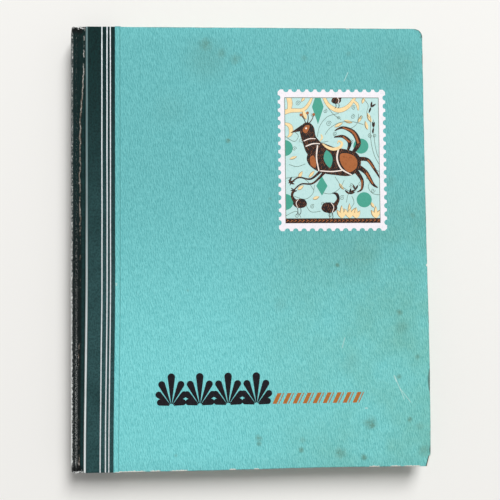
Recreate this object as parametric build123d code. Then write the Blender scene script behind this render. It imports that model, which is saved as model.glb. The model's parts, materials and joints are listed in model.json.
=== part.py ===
"""A case-bound stock book for stamps, lying closed on its back cover.

Two boards and a spine stiffener are joined by a strip of book cloth and covered with paper that laps over
the cloth. Eight card leaves with rows of clear film pockets hang on cloth hinges from a stitched guard block,
with a sheet of glassine between each pair. Sizes are millimetres. The construction is drawn with x measured
from the spine's outer face, and each piece is moved at export so that the origin is the centre of the
album's footprint on the surface it lies on. +X points to the fore-edge, +Y to the head, +Z up.
"""

from build123d import *
import os

# Overall sizes of the closed album
album_width = 180.0
album_height = 225.0

# Sheet materials of the case
board_thickness = 2.2
cloth_thickness = 0.25
paper_thickness = 0.2
lining_thickness = 0.15
spine_board_thickness = 1.2

# Layout of a cover, measured from the spine's outer face
joint_width = 7.6
cloth_reach = 24.0
lap_width = 2.7
lap_tent = 0.3
turn_in = 15.0
corner_radius = 3.0
lining_margin = 4.0

# Spine and joints
spine_drop = 0.8
spine_turn_in = 12.0
spine_shoulder = 1.15
groove_depth = 2.1
groove_spine_slope = 1.4
groove_board_slope = 1.3
groove_lip = 0.65
hinge_gap = 0.1

# The block of leaves
leaf_count = 8
card_thickness = 0.55
film_thickness = 0.12
interleaf_thickness = 0.1
flyleaf_thickness = 0.15
hinge_cloth_thickness = 0.25
sheet_gap = 0.12
cover_clearance = 0.2
edge_square = 3.5
head_square = 2.5
interleaf_inset = 2.0

# The hinges of the leaves. Each lower leaf turns a little further from the spine.
flyleaf_lead = 1.0
pivot_step = 0.3
pivot_gap = 0.8
sheet_pivot_gap = 1.6
guard_gap = 0.3
hinge_free = 9.1
hinge_glue = 8.0

# Pockets
pocket_rows = 7
pocket_spacing = 5.0
pocket_foot = 5.0
pocket_head = 4.1
pocket_side = 2.0
pocket_inner = 1.0

# The guard block and its stitching
spine_hollow = 0.45
mull_thickness = 0.25
mull_short = 2.5
guard_headroom = 0.45
stitch_count = 6
stitch_end = 14.55
stitch_inset = 3.4
stitch_hole_radius = 0.5
thread_radius = 0.4
thread_height = 0.3
thread_clearance = 0.05
band_radius = 0.7

# Levels through the thickness, from the surface the album lies on
wrap = cloth_thickness + paper_thickness
board_bottom = wrap
board_top = board_bottom + board_thickness
cover_thickness = board_top + wrap + lining_thickness
board_half_height = album_height / 2 - wrap
board_end = album_width - paper_thickness
leaf_half_height = board_half_height - head_square
leaf_end = album_width - edge_square

leaf_thickness = hinge_cloth_thickness + card_thickness + film_thickness
leaf_pitch = leaf_thickness + interleaf_thickness + 2 * sheet_gap
back_flyleaf_bottom = cover_thickness + cover_clearance
last_leaf_bottom = back_flyleaf_bottom + flyleaf_thickness + sheet_gap
leaves_top = last_leaf_bottom + (leaf_count - 1) * leaf_pitch + leaf_thickness
front_flyleaf_bottom = leaves_top + sheet_gap
front_inner_face = front_flyleaf_bottom + flyleaf_thickness + cover_clearance
album_thickness = front_inner_face + cover_thickness
spine_top = album_thickness - paper_thickness - spine_drop

spine_flat = cloth_thickness + spine_board_thickness + spine_shoulder
groove_start = spine_flat + groove_spine_slope
groove_end = joint_width - groove_board_slope

pocket_pitch = (2 * leaf_half_height - pocket_foot - pocket_head) / pocket_rows
pocket_height = pocket_pitch - pocket_spacing
stitch_pitch = 2 * (leaf_half_height - stitch_end) / (stitch_count - 1)

# The front cover turns about the outer edge of its board. The flyleaf and then the leaves turn beside it.
front_hinge_x = joint_width - hinge_gap
front_hinge_z = album_thickness - wrap
flyleaf_pivot_x = joint_width + flyleaf_lead
first_pivot = flyleaf_pivot_x + pivot_gap
card_start = first_pivot + hinge_free
guard_left = cloth_thickness + spine_board_thickness + spine_hollow + mull_thickness


def block(x0, x1, y0, y1, z0, z1):
    """A box between two corners."""
    return Pos((x0 + x1) / 2, (y0 + y1) / 2, (z0 + z1) / 2) * Box(x1 - x0, y1 - y0, z1 - z0)


def sheet(x0, x1, half_height, z0, thickness):
    """A flat sheet, centred between head and tail."""
    return block(x0, x1, -half_height, half_height, z0, z0 + thickness)


def rounded_plate(x0, x1, half_height, z0, z1, radius):
    """A plate with its two fore-edge corners rounded."""
    plate = block(x0, x1, -half_height, half_height, z0, z1)
    corners = plate.edges().filter_by(Axis.Z).group_by(Axis.X)[-1]
    return fillet(corners, radius)


def strip_outline(path, thickness):
    """The outline of a strip of even thickness whose outer side follows a path of (x, z) points."""
    points = [Vector(x, z) for x, z in path]
    runs = [(b - a).normalized() for a, b in zip(points, points[1:])]
    normals = [Vector(-run.Y, run.X) for run in runs]
    inner = [points[0] + normals[0] * thickness]
    for corner, before, after in zip(points[1:], normals, normals[1:]):
        inner.append(corner + (before + after) * (thickness / (1 + before.dot(after))))
    inner.append(points[-1] + normals[-1] * thickness)
    return [(p.X, p.Y) for p in points + inner[::-1]]


def prism(outline, half_height):
    """An outline of (x, z) points, extruded from tail to head."""
    corners = [(x, -half_height, z) for x, z in outline]
    return extrude(make_face(Polyline(*corners, close=True)), amount=2 * half_height, dir=(0, 1, 0))


def turned_over(shape):
    """The same piece on the front cover, which mirrors the back one."""
    return mirror(shape, about=Plane.XY.offset(album_thickness / 2))


def cover_board():
    return rounded_plate(joint_width, board_end, board_half_height, board_bottom, board_top, corner_radius)


def cloth_envelope(start):
    """The space inside the outer faces of the cloth on a board."""
    reach = board_half_height + cloth_thickness
    return block(start, cloth_reach, -reach, reach, board_bottom - cloth_thickness, board_top + cloth_thickness)


def turn_in_window(x0, x1):
    """The middle of a board's inner face, which the turned-in covering leaves free."""
    free = board_half_height - turn_in
    return block(x0, x1, -free, free, board_top, cover_thickness + 1)


def board_cloth(start):
    """Cloth on one board: its outer face, head and tail edges and the turned-in flaps."""
    board = block(start, cloth_reach, -board_half_height, board_half_height, board_bottom, board_top)
    return cloth_envelope(start) - board - turn_in_window(start, cloth_reach)


def cover_paper():
    """Covering paper, wrapped round three edges of the board and lapped over the cloth."""
    start = cloth_reach - lap_width
    reach = board_half_height + paper_thickness
    skin = rounded_plate(
        start,
        album_width,
        reach,
        board_bottom - paper_thickness,
        board_top + paper_thickness,
        corner_radius + paper_thickness,
    )
    lap_reach = board_half_height + wrap
    lap = block(start, cloth_reach + lap_tent, -lap_reach, lap_reach, board_bottom - wrap, board_top + wrap)
    window = turn_in_window(start, album_width - turn_in)
    return skin + lap - cover_board() - cloth_envelope(start) - window


def cover_lining():
    """The pasted-down endpaper with its filler, level over the turned-in flaps."""
    reach = board_half_height - lining_margin
    plate = block(joint_width, album_width - lining_margin, -reach, reach, board_top, cover_thickness)
    return plate - cloth_envelope(joint_width) - cover_paper()


def spine_board():
    x0 = cloth_thickness
    bottom, top = paper_thickness + cloth_thickness, spine_top - cloth_thickness
    return block(x0, x0 + spine_board_thickness, -board_half_height, board_half_height, bottom, top)


def spine_cloth():
    """Cloth on the back board, in both joints and round the spine board, turned in at head and tail."""
    outer = paper_thickness
    back_floor = outer + groove_depth
    front_floor = spine_top + spine_drop - groove_depth
    path = [
        (joint_width, outer),
        (groove_end, back_floor),
        (groove_start, back_floor),
        (spine_flat, outer),
        (0, outer),
        (0, spine_top),
        (spine_flat, spine_top),
        (groove_start, front_floor),
        (groove_end, front_floor),
        (front_hinge_x - groove_lip / 2, front_hinge_z - groove_lip),
    ]
    outline = strip_outline([(x, z) for x, z in reversed(path)], cloth_thickness)
    reach = board_half_height + cloth_thickness
    inner_side = cloth_thickness + spine_board_thickness
    end_wrap = block(0, inner_side + cloth_thickness, -reach, reach, outer, spine_top)
    inner_free = board_half_height - spine_turn_in
    hollow = block(inner_side, inner_side + cloth_thickness, -inner_free, inner_free, outer, spine_top)
    case = prism(outline, reach) + (end_wrap - spine_board() - hollow)
    return case - cover_board() + board_cloth(joint_width)


def leaf_bottom(number):
    """Level of the underside of a leaf's cloth hinge. Leaf 1 is the top one."""
    return last_leaf_bottom + (leaf_count - number) * leaf_pitch


def leaf_pivot(number):
    """Where a leaf's cloth bends, as x and z."""
    return first_pivot + (number - 1) * pivot_step, leaf_bottom(number) + hinge_cloth_thickness / 2


def interleaf_bottom(number):
    """Level of the glassine that lies under a leaf."""
    return leaf_bottom(number) - sheet_gap - interleaf_thickness


def interleaf_pivot(number):
    x = (leaf_pivot(number)[0] + leaf_pivot(number + 1)[0]) / 2
    return x, interleaf_bottom(number) + interleaf_thickness / 2


def back_flyleaf_pivot():
    return leaf_pivot(leaf_count)[0] + pivot_step, back_flyleaf_bottom + flyleaf_thickness / 2


def front_flyleaf_pivot():
    return flyleaf_pivot_x, front_flyleaf_bottom + flyleaf_thickness / 2


def leaf_card(number):
    level = leaf_bottom(number) + hinge_cloth_thickness
    return sheet(card_start, leaf_end, leaf_half_height, level, card_thickness)


def leaf_hinge(number):
    """The strip of cloth glued under a leaf's inner edge."""
    start = leaf_pivot(number)[0] + pivot_gap
    return sheet(start, card_start + hinge_glue, leaf_half_height, leaf_bottom(number), hinge_cloth_thickness)


def pocket_strips(level):
    """Rows of film on one face of a leaf, as separate strips."""
    x0, x1 = card_start + hinge_glue + pocket_inner, leaf_end - pocket_side
    foot = -leaf_half_height + pocket_foot
    rows = [foot + row * pocket_pitch for row in range(pocket_rows)]
    return [block(x0, x1, y, y + pocket_height, level, level + film_thickness) for y in rows]


def interleaf(number):
    start = interleaf_pivot(number)[0] + sheet_pivot_gap
    half_height = leaf_half_height - interleaf_inset
    end = leaf_end - interleaf_inset
    return sheet(start, end, half_height, interleaf_bottom(number), interleaf_thickness)


def flyleaf(pivot, level):
    return sheet(pivot[0] + pivot_gap, leaf_end, leaf_half_height, level, flyleaf_thickness)


def stitch_places():
    """Where the thread goes through the guard block, from tail to head."""
    middle = (stitch_count - 1) / 2
    return [(place - middle) * stitch_pitch for place in range(stitch_count)]


def stitch_x():
    return guard_left + stitch_inset


def drilled(shape):
    """A piece of the guard block with the holes for the thread."""
    for y in stitch_places():
        shape -= Pos(stitch_x(), y, album_thickness / 2) * Cylinder(stitch_hole_radius, album_thickness)
    return shape


def guard_levels():
    """Bottom and top of each stub of the guard block, from the back cover up."""
    tabs = [leaf_bottom(number) for number in range(leaf_count, 0, -1)]
    bottoms = [cover_thickness] + [level + hinge_cloth_thickness for level in tabs]
    tops = tabs + [front_inner_face - guard_headroom]
    return list(zip(bottoms, tops))


def guard_edge(number):
    """How far from the spine the guard block reaches beside a leaf."""
    return leaf_pivot(number)[0] - guard_gap


def thread_slot(level):
    """The sunk run of thread along an outer face of the guard block."""
    half_width = stitch_hole_radius
    reach = stitch_places()[-1]
    return block(stitch_x() - half_width, stitch_x() + half_width, -reach, reach, *level)


def guard_stubs():
    """Card stubs that pack out the guard block between the leaf hinges."""
    levels = guard_levels()
    numbers = [leaf_count] + list(range(leaf_count, 0, -1))
    slot_depth = thread_height + thread_clearance
    bottom, top = levels[0][0], levels[-1][1]
    slots = thread_slot((bottom, bottom + slot_depth)) + thread_slot((top - slot_depth, top))
    stubs = []
    for number, (low, high) in zip(numbers, levels):
        stub = block(guard_left, guard_edge(number), -leaf_half_height, leaf_half_height, low, high)
        stubs.append(drilled(stub) - slots)
    return stubs


def hinge_tabs():
    """The ends of the leaf hinges that are clamped in the guard block."""
    tabs = []
    for number in range(1, leaf_count + 1):
        tab = sheet(guard_left, guard_edge(number), leaf_half_height, leaf_bottom(number), hinge_cloth_thickness)
        tabs.append(drilled(tab))
    return tabs


def sewing_thread():
    """One running stitch through the guard block, over and under in turn."""
    bottom, top = guard_levels()[0][0], guard_levels()[-1][1]
    places = stitch_places()
    x = stitch_x()
    thread = None
    for y in places:
        post = Pos(x, y, (bottom + top) / 2) * Cylinder(thread_radius, top - bottom)
        thread = post if thread is None else thread + post
    for turn, (y0, y1) in enumerate(zip(places, places[1:])):
        level = top - thread_height if turn % 2 else bottom
        thread += block(x - thread_radius, x + thread_radius, y0, y1, level, level + thread_height)
    return thread


def spine_lining():
    """Gauze glued to the back of the guard block."""
    levels = guard_levels()
    reach = leaf_half_height - mull_short
    return block(guard_left - mull_thickness, guard_left, -reach, reach, levels[0][0], levels[-1][1])


def end_band(side):
    """The rolled band at the head (side 1) or tail (side -1) of the guard block."""
    levels = guard_levels()
    low, high = levels[0][0], levels[-1][1]
    y = side * (leaf_half_height + band_radius)
    return Pos(guard_left + band_radius, y, (low + high) / 2) * Cylinder(band_radius, high - low)


def pieces():
    """Every node of the album by name."""
    found = {
        "back_board": cover_board(),
        "back_paper": cover_paper(),
        "back_pastedown": cover_lining(),
        "front_board": turned_over(cover_board()),
        "front_paper": turned_over(cover_paper()),
        "front_pastedown": turned_over(cover_lining()),
        "front_cloth": turned_over(board_cloth(joint_width)),
        "spine_cloth": spine_cloth(),
        "spine_board": spine_board(),
        "spine_lining": spine_lining(),
        "head_band": end_band(1),
        "tail_band": end_band(-1),
        "guard_stubs": Compound(guard_stubs()),
        "hinge_tabs": Compound(hinge_tabs()),
        "sewing_thread": sewing_thread(),
        "front_flyleaf": flyleaf(front_flyleaf_pivot(), front_flyleaf_bottom),
        "back_flyleaf": flyleaf(back_flyleaf_pivot(), back_flyleaf_bottom),
    }
    for number in range(1, leaf_count + 1):
        card_top = leaf_bottom(number) + hinge_cloth_thickness + card_thickness
        card_underside = leaf_bottom(number) + hinge_cloth_thickness - film_thickness
        found[f"leaf_{number}_card"] = leaf_card(number)
        found[f"leaf_{number}_hinge"] = leaf_hinge(number)
        found[f"leaf_{number}_front_pockets"] = Compound(pocket_strips(card_top))
        found[f"leaf_{number}_back_pockets"] = Compound(pocket_strips(card_underside))
    for number in range(1, leaf_count):
        found[f"interleaf_{number}"] = interleaf(number)
    return found


def main():
    os.makedirs("parts", exist_ok=True)
    to_footprint_centre = Pos(-album_width / 2, 0, 0)
    for name, shape in pieces().items():
        export_step(to_footprint_centre * shape, f"parts/{name}.step")


main()
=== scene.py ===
import bpy
import bmesh
import json
import math
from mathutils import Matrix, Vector, noise


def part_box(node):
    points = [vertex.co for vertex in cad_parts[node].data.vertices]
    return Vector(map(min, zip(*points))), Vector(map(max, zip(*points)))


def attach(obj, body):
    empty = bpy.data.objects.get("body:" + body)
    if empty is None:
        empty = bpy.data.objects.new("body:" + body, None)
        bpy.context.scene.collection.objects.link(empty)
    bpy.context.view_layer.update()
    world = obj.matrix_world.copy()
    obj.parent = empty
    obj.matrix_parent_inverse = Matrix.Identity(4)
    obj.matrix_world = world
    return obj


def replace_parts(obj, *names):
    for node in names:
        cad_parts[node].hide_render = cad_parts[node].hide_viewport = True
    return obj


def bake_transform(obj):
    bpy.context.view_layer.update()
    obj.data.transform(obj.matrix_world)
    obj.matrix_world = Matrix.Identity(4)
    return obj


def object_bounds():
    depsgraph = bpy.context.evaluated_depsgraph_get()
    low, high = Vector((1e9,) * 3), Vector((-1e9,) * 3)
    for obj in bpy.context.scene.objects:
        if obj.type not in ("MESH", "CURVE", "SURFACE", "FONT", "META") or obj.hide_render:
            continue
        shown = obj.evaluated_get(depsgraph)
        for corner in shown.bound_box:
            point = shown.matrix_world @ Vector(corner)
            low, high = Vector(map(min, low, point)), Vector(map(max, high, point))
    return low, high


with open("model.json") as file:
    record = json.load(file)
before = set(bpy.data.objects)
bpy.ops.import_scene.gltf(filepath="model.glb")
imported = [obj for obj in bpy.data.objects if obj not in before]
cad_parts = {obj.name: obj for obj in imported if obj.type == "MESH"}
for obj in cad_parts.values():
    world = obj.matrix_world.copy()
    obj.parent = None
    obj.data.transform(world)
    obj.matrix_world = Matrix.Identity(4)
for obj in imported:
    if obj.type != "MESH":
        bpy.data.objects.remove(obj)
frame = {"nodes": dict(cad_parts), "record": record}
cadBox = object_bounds()
print("frame loaded with", len(frame["nodes"]), "nodes")

# Everything is drawn in album millimetres: x from the spine's outer face, y from mid height, z from the table
mm = 0.001
spineFace = cadBox[0][0] / mm
albumWidth = (cadBox[1][0] - cadBox[0][0]) / mm
albumHeight = (cadBox[1][1] - cadBox[0][1]) / mm
albumTop = cadBox[1][2] / mm
leafCount = sum(1 for name in frame["nodes"] if name.endswith("_card"))


def nodeBox(name):
    return [(corner[0] / mm - spineFace, corner[1] / mm, corner[2] / mm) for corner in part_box(name)]


def toFrame(x, y, z):
    return Vector(((x + spineFace) * mm, y * mm, z * mm))


def hingePlace(body):
    # how far from the spine's outer face a body turns
    joint = next(j for j in frame["record"]["behaviour"]["joints"] if j["child"] == body)
    return joint["pos_m"][0] / mm - spineFace


def smoothStep(low, high, value):
    t = min(max((value - low) / (high - low), 0.0), 1.0)
    return t * t * (3 - 2 * t)


# levels and edges that several pieces share
boardLow, boardHigh = nodeBox("front_board")
clothHigh = nodeBox("front_cloth")[1]
paperLow, paperHigh = nodeBox("front_paper")
spineHigh = nodeBox("spine_cloth")[1]
guardLow = nodeBox("guard_stubs")[0]
clothThickness = clothHigh[2] - boardHigh[2]
paperThickness = paperHigh[0] - boardHigh[0]
paperTop = boardHigh[2] + paperThickness
lapStart = paperLow[0]
lapEnd = clothHigh[0]
boardEdge = boardLow[0]


# How the covers have given way with use: spread a little at head and tail, and leaning out at the spine
wear = {
    "headSpread": 1.0045,
    "tailSpread": 1.0078,
    "tailLean": 0.95,
    "tailLeanReach": 60,
    "spineLean": 1.2,
}


def coverSpread(y):
    return y * (wear["headSpread"] if y > 0 else wear["tailSpread"])


def coverLean(x, y):
    # the whole cloth side leans towards the tail, and the spine alone above it
    tail = smoothStep(albumHeight * -0.05, albumHeight * -0.5, y)
    along = 1 - smoothStep(lapEnd, lapEnd + wear["tailLeanReach"], x)
    onSpine = 1 - smoothStep(0.5, boardEdge, x)
    return -wear["tailLean"] * tail * along - wear["spineLean"] * (1 - tail) * onSpine


def spun(a, b, angle, x=0.0, y=0.0):
    # the point (a, b) turned by an angle, then moved by x and y
    return (x + a * math.cos(angle) - b * math.sin(angle), y + a * math.sin(angle) + b * math.cos(angle))


def oblong(left, right, low, high):
    return [(left, low), (right, low), (right, high), (left, high)]


def roundedLoop(corners, steps=5):
    # a closed loop of (a, b) points, where each corner is (a, b, radius)
    loop = []
    for index, (a, b, radius) in enumerate(corners):
        here = Vector((a, b))
        back = Vector(corners[index - 1][:2]) - here
        ahead = Vector(corners[(index + 1) % len(corners)][:2]) - here
        if radius <= 0:
            loop.append((a, b))
            continue
        half = back.angle(ahead) / 2
        reach = min(radius / math.tan(half), 0.48 * back.length, 0.48 * ahead.length)
        radius = reach * math.tan(half)
        centre = here + (back.normalized() + ahead.normalized()).normalized() * (radius / math.sin(half))
        start = here + back.normalized() * reach - centre
        end = here + ahead.normalized() * reach - centre
        turn = start.angle_signed(end)
        for step in range(steps + 1):
            spoke = Vector(spun(start.x, start.y, -turn * step / steps))
            loop.append(tuple(centre + spoke))
    return loop


def finishMesh(name, bm, materials, body=None, smooth=True, flat=False, leaning=False):
    # turns a bmesh in album millimetres into a piece, and stores each point's resting place for its material
    if not flat:
        bmesh.ops.recalc_face_normals(bm, faces=bm.faces)
    mesh = bpy.data.meshes.new(name)
    bm.to_mesh(mesh)
    bm.free()
    kept = "restPlace" in mesh.attributes
    if not kept:
        mesh.attributes.new("restPlace", "FLOAT_VECTOR", "POINT")
    place = mesh.attributes["restPlace"]
    for index, vertex in enumerate(mesh.vertices):
        x, y, z = vertex.co
        if not kept:
            place.data[index].vector = (x, y, z)
        vertex.co = toFrame(x + coverLean(x, y), coverSpread(y), z) if leaning else toFrame(x, y, z)
    for material in materials:
        mesh.materials.append(material)
    if smooth:
        mesh.shade_smooth()
        mesh.set_sharp_from_angle(angle=math.radians(40))
    piece = bpy.data.objects.new(name, mesh)
    bpy.context.scene.collection.objects.link(piece)
    if body:
        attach(piece, body)
    return piece


def cutAcross(bm, axis, places):
    normal = Vector((axis == "x", axis == "y", axis == "z"))
    for value in places:
        everything = list(bm.verts) + list(bm.edges) + list(bm.faces)
        bmesh.ops.bisect_plane(bm, geom=everything, plane_co=normal * value, plane_no=normal, dist=1e-5)


def plate(outline, low, high, edgeRadius, cutsX=(), cutsY=(), segments=3):
    # a plate with rounded edges, cut into strips so that it can be shaped
    bm = bmesh.new()
    base = bm.faces.new([bm.verts.new((x, y, low)) for x, y in outline])
    grown = bmesh.ops.extrude_face_region(bm, geom=[base])["geom"]
    raised = [g for g in grown if isinstance(g, bmesh.types.BMVert)]
    bmesh.ops.translate(bm, verts=raised, vec=(0, 0, high - low))
    if edgeRadius:
        rims = [e for e in bm.edges if abs(e.verts[0].co.z - e.verts[1].co.z) < 1e-6]
        bmesh.ops.bevel(bm, geom=rims, offset=edgeRadius, segments=segments, profile=0.5, affect="EDGES")
    cutAcross(bm, "x", cutsX)
    cutAcross(bm, "y", cutsY)
    return bm


def slab(bm, x0, x1, y0, y1, z0, z1, materialIndex=0):
    corners = [bm.verts.new((x, y, z)) for z in (z0, z1) for y in (y0, y1) for x in (x0, x1)]
    for face in ((0, 2, 3, 1), (4, 5, 7, 6), (0, 1, 5, 4), (2, 6, 7, 3), (0, 4, 6, 2), (1, 3, 7, 5)):
        bm.faces.new([corners[i] for i in face]).material_index = materialIndex


def everyStep(low, high, step):
    count = max(1, round((high - low) / step))
    return [low + (high - low) * i / count for i in range(1, count)]


def linear(red, green, blue):
    # a colour given as on a colour chart, 0 to 255
    def channel(value):
        value = value / 255
        return value / 12.92 if value <= 0.04045 else ((value + 0.055) / 1.055) ** 2.4
    return (channel(red), channel(green), channel(blue), 1.0)


class finishNodes:
    # one material, and the nodes that give it its colour, gloss and relief
    def __init__(self, name):
        self.material = bpy.data.materials.new(name)
        self.material.use_nodes = True
        self.tree = self.material.node_tree
        self.shader = self.tree.nodes["Principled BSDF"]

    def join(self, value, socket):
        if isinstance(value, bpy.types.NodeSocket):
            self.tree.links.new(value, socket)
        elif isinstance(value, tuple) and socket.type == "RGBA" and len(value) == 3:
            socket.default_value = linear(*value)
        else:
            socket.default_value = value

    def add(self, kind, inputs=None, **settings):
        made = self.tree.nodes.new(kind)
        for name, value in settings.items():
            setattr(made, name, value)
        for name, value in (inputs or {}).items():
            self.join(value, made.inputs[name])
        return made

    def maths(self, operation, *values):
        return self.add("ShaderNodeMath", dict(enumerate(values)), operation=operation).outputs[0]

    def times(self, first, second):
        return self.maths("MULTIPLY", first, second)

    def plus(self, first, second):
        return self.maths("ADD", first, second)

    def minus(self, first, second):
        return self.maths("SUBTRACT", first, second)

    def scaled(self, value, factor, offset):
        return self.maths("MULTIPLY_ADD", value, factor, offset)

    def sine(self, value, rounds=1.0):
        return self.maths("SINE", self.times(value, rounds))

    def ramp(self, value, low, high, toLow=0.0, toHigh=1.0):
        inputs = {"Value": value, "From Min": low, "From Max": high, "To Min": toLow, "To Max": toHigh}
        return self.add("ShaderNodeMapRange", inputs, interpolation_type="SMOOTHSTEP").outputs[0]

    def band(self, value, low, high, soft):
        # 1 between low and high, fading over soft at each side
        rise = self.ramp(value, low - soft, low + soft)
        return self.times(rise, self.ramp(value, high - soft, high + soft, 1.0, 0.0))

    def mix(self, factor, first, second, blend="MIX"):
        inputs = {0: factor, 6: first, 7: second}
        return self.add("ShaderNodeMix", inputs, data_type="RGBA", blend_type=blend).outputs[2]

    def place(self, onCad=False):
        # each point's place in album millimetres, which stays with the surface when it bends
        if not onCad:
            return self.add("ShaderNodeAttribute", attribute_name="restPlace").outputs["Vector"]
        here = self.add("ShaderNodeTexCoord").outputs["Object"]
        inputs = {0: here, 1: (1 / mm, 1 / mm, 1 / mm), 2: (-spineFace, 0, 0)}
        return self.add("ShaderNodeVectorMath", inputs, operation="MULTIPLY_ADD").outputs[0]

    def axes(self, place):
        return self.add("ShaderNodeSeparateXYZ", {0: place}).outputs

    def noise(self, place, scale=1.0, detail=2.0, roughness=0.5):
        # the scale is one number, or one for each axis
        if isinstance(scale, tuple):
            place = self.add("ShaderNodeVectorMath", {0: place, 1: scale}, operation="MULTIPLY").outputs[0]
            scale = 1.0
        inputs = {"Vector": place, "Scale": scale, "Detail": detail, "Roughness": roughness}
        return self.add("ShaderNodeTexNoise", inputs).outputs["Fac"]

    def weave(self, x, y, z, pitch):
        # threads up and across, one full wave to a pitch
        rounds = 2 * math.pi / pitch
        return self.times(self.sine(self.plus(x, z), rounds), self.sine(y, rounds))

    def edges(self, x, y):
        # how far each point is from the fore-edge, from head or tail, and from the nearest of them
        side = self.minus(albumWidth, x)
        ends = self.minus(albumHeight / 2, self.maths("ABSOLUTE", y))
        return side, ends, self.maths("MINIMUM", side, ends)

    def away(self, place, x, y):
        # how far each point is from one place on the front cover
        inputs = {0: place, 1: (x, y, paperTop)}
        return self.add("ShaderNodeVectorMath", inputs, operation="DISTANCE").outputs["Value"]

    def awayFromLine(self, x, y, fromX, fromY, toX, toY):
        length = math.hypot(toX - fromX, toY - fromY)
        dx, dy = (toX - fromX) / length, (toY - fromY) / length
        along = self.scaled(y, dy, self.scaled(x, dx, -fromX * dx - fromY * dy))
        across = self.scaled(y, dx, self.scaled(x, -dy, fromX * dy - fromY * dx))
        past = self.minus(self.maths("ABSOLUTE", self.minus(along, length / 2)), length / 2)
        past = self.maths("MAXIMUM", past, 0.0)
        return self.maths("SQRT", self.plus(self.times(past, past), self.times(across, across)))

    def bump(self, height, distance, normal=None):
        inputs = {"Height": height, "Distance": distance * mm, "Strength": 1.0}
        if normal:
            inputs["Normal"] = normal
        return self.add("ShaderNodeBump", inputs).outputs["Normal"]

    def finish(self, colour, roughness, specular, normal=None, alpha=None, metallic=None):
        values = {"Base Color": colour, "Roughness": roughness, "Specular IOR Level": specular,
                  "Normal": normal, "Alpha": alpha, "Metallic": metallic}
        for name, value in values.items():
            if value is not None:
                self.join(value, self.shader.inputs[name])
        return self.material


# A cover in its paper: one plate with soft edges, a ridge where it laps over the cloth, and knocked corners
coverPaper = {
    "headCorner": 4.2,
    "tailCorner": (1.3, 5.6),
    "edgeRadius": 0.38,
    "lapFade": 0.7,
    "lapCuts": (-0.35, 0.0, 0.35, 0.7, 1.2),
    "edgeStrip": 1.5,
    "stripWidth": 6.0,
    "raggedEdge": 0.16,
    "raggedScale": 0.22,
    "raggedReach": 1.2,
    "tailHollow": 0.45,
    "tailHollowPlace": 128.0,
    "tailHollowWidth": 40.0,
    "tailHollowReach": 30.0,
    "cornerKnock": 0.35,
    "headKnockShare": 0.3,
    "cornerReach": 12.0,
    "foreEdgeSpread": 0.55,
    "foreEdgeReach": 60.0,
    "foreEdgeBulge": 0.8,
    "foreEdgeBulgePlace": -58.0,
    "foreEdgeBulgeWidth": 62.0,
}


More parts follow.
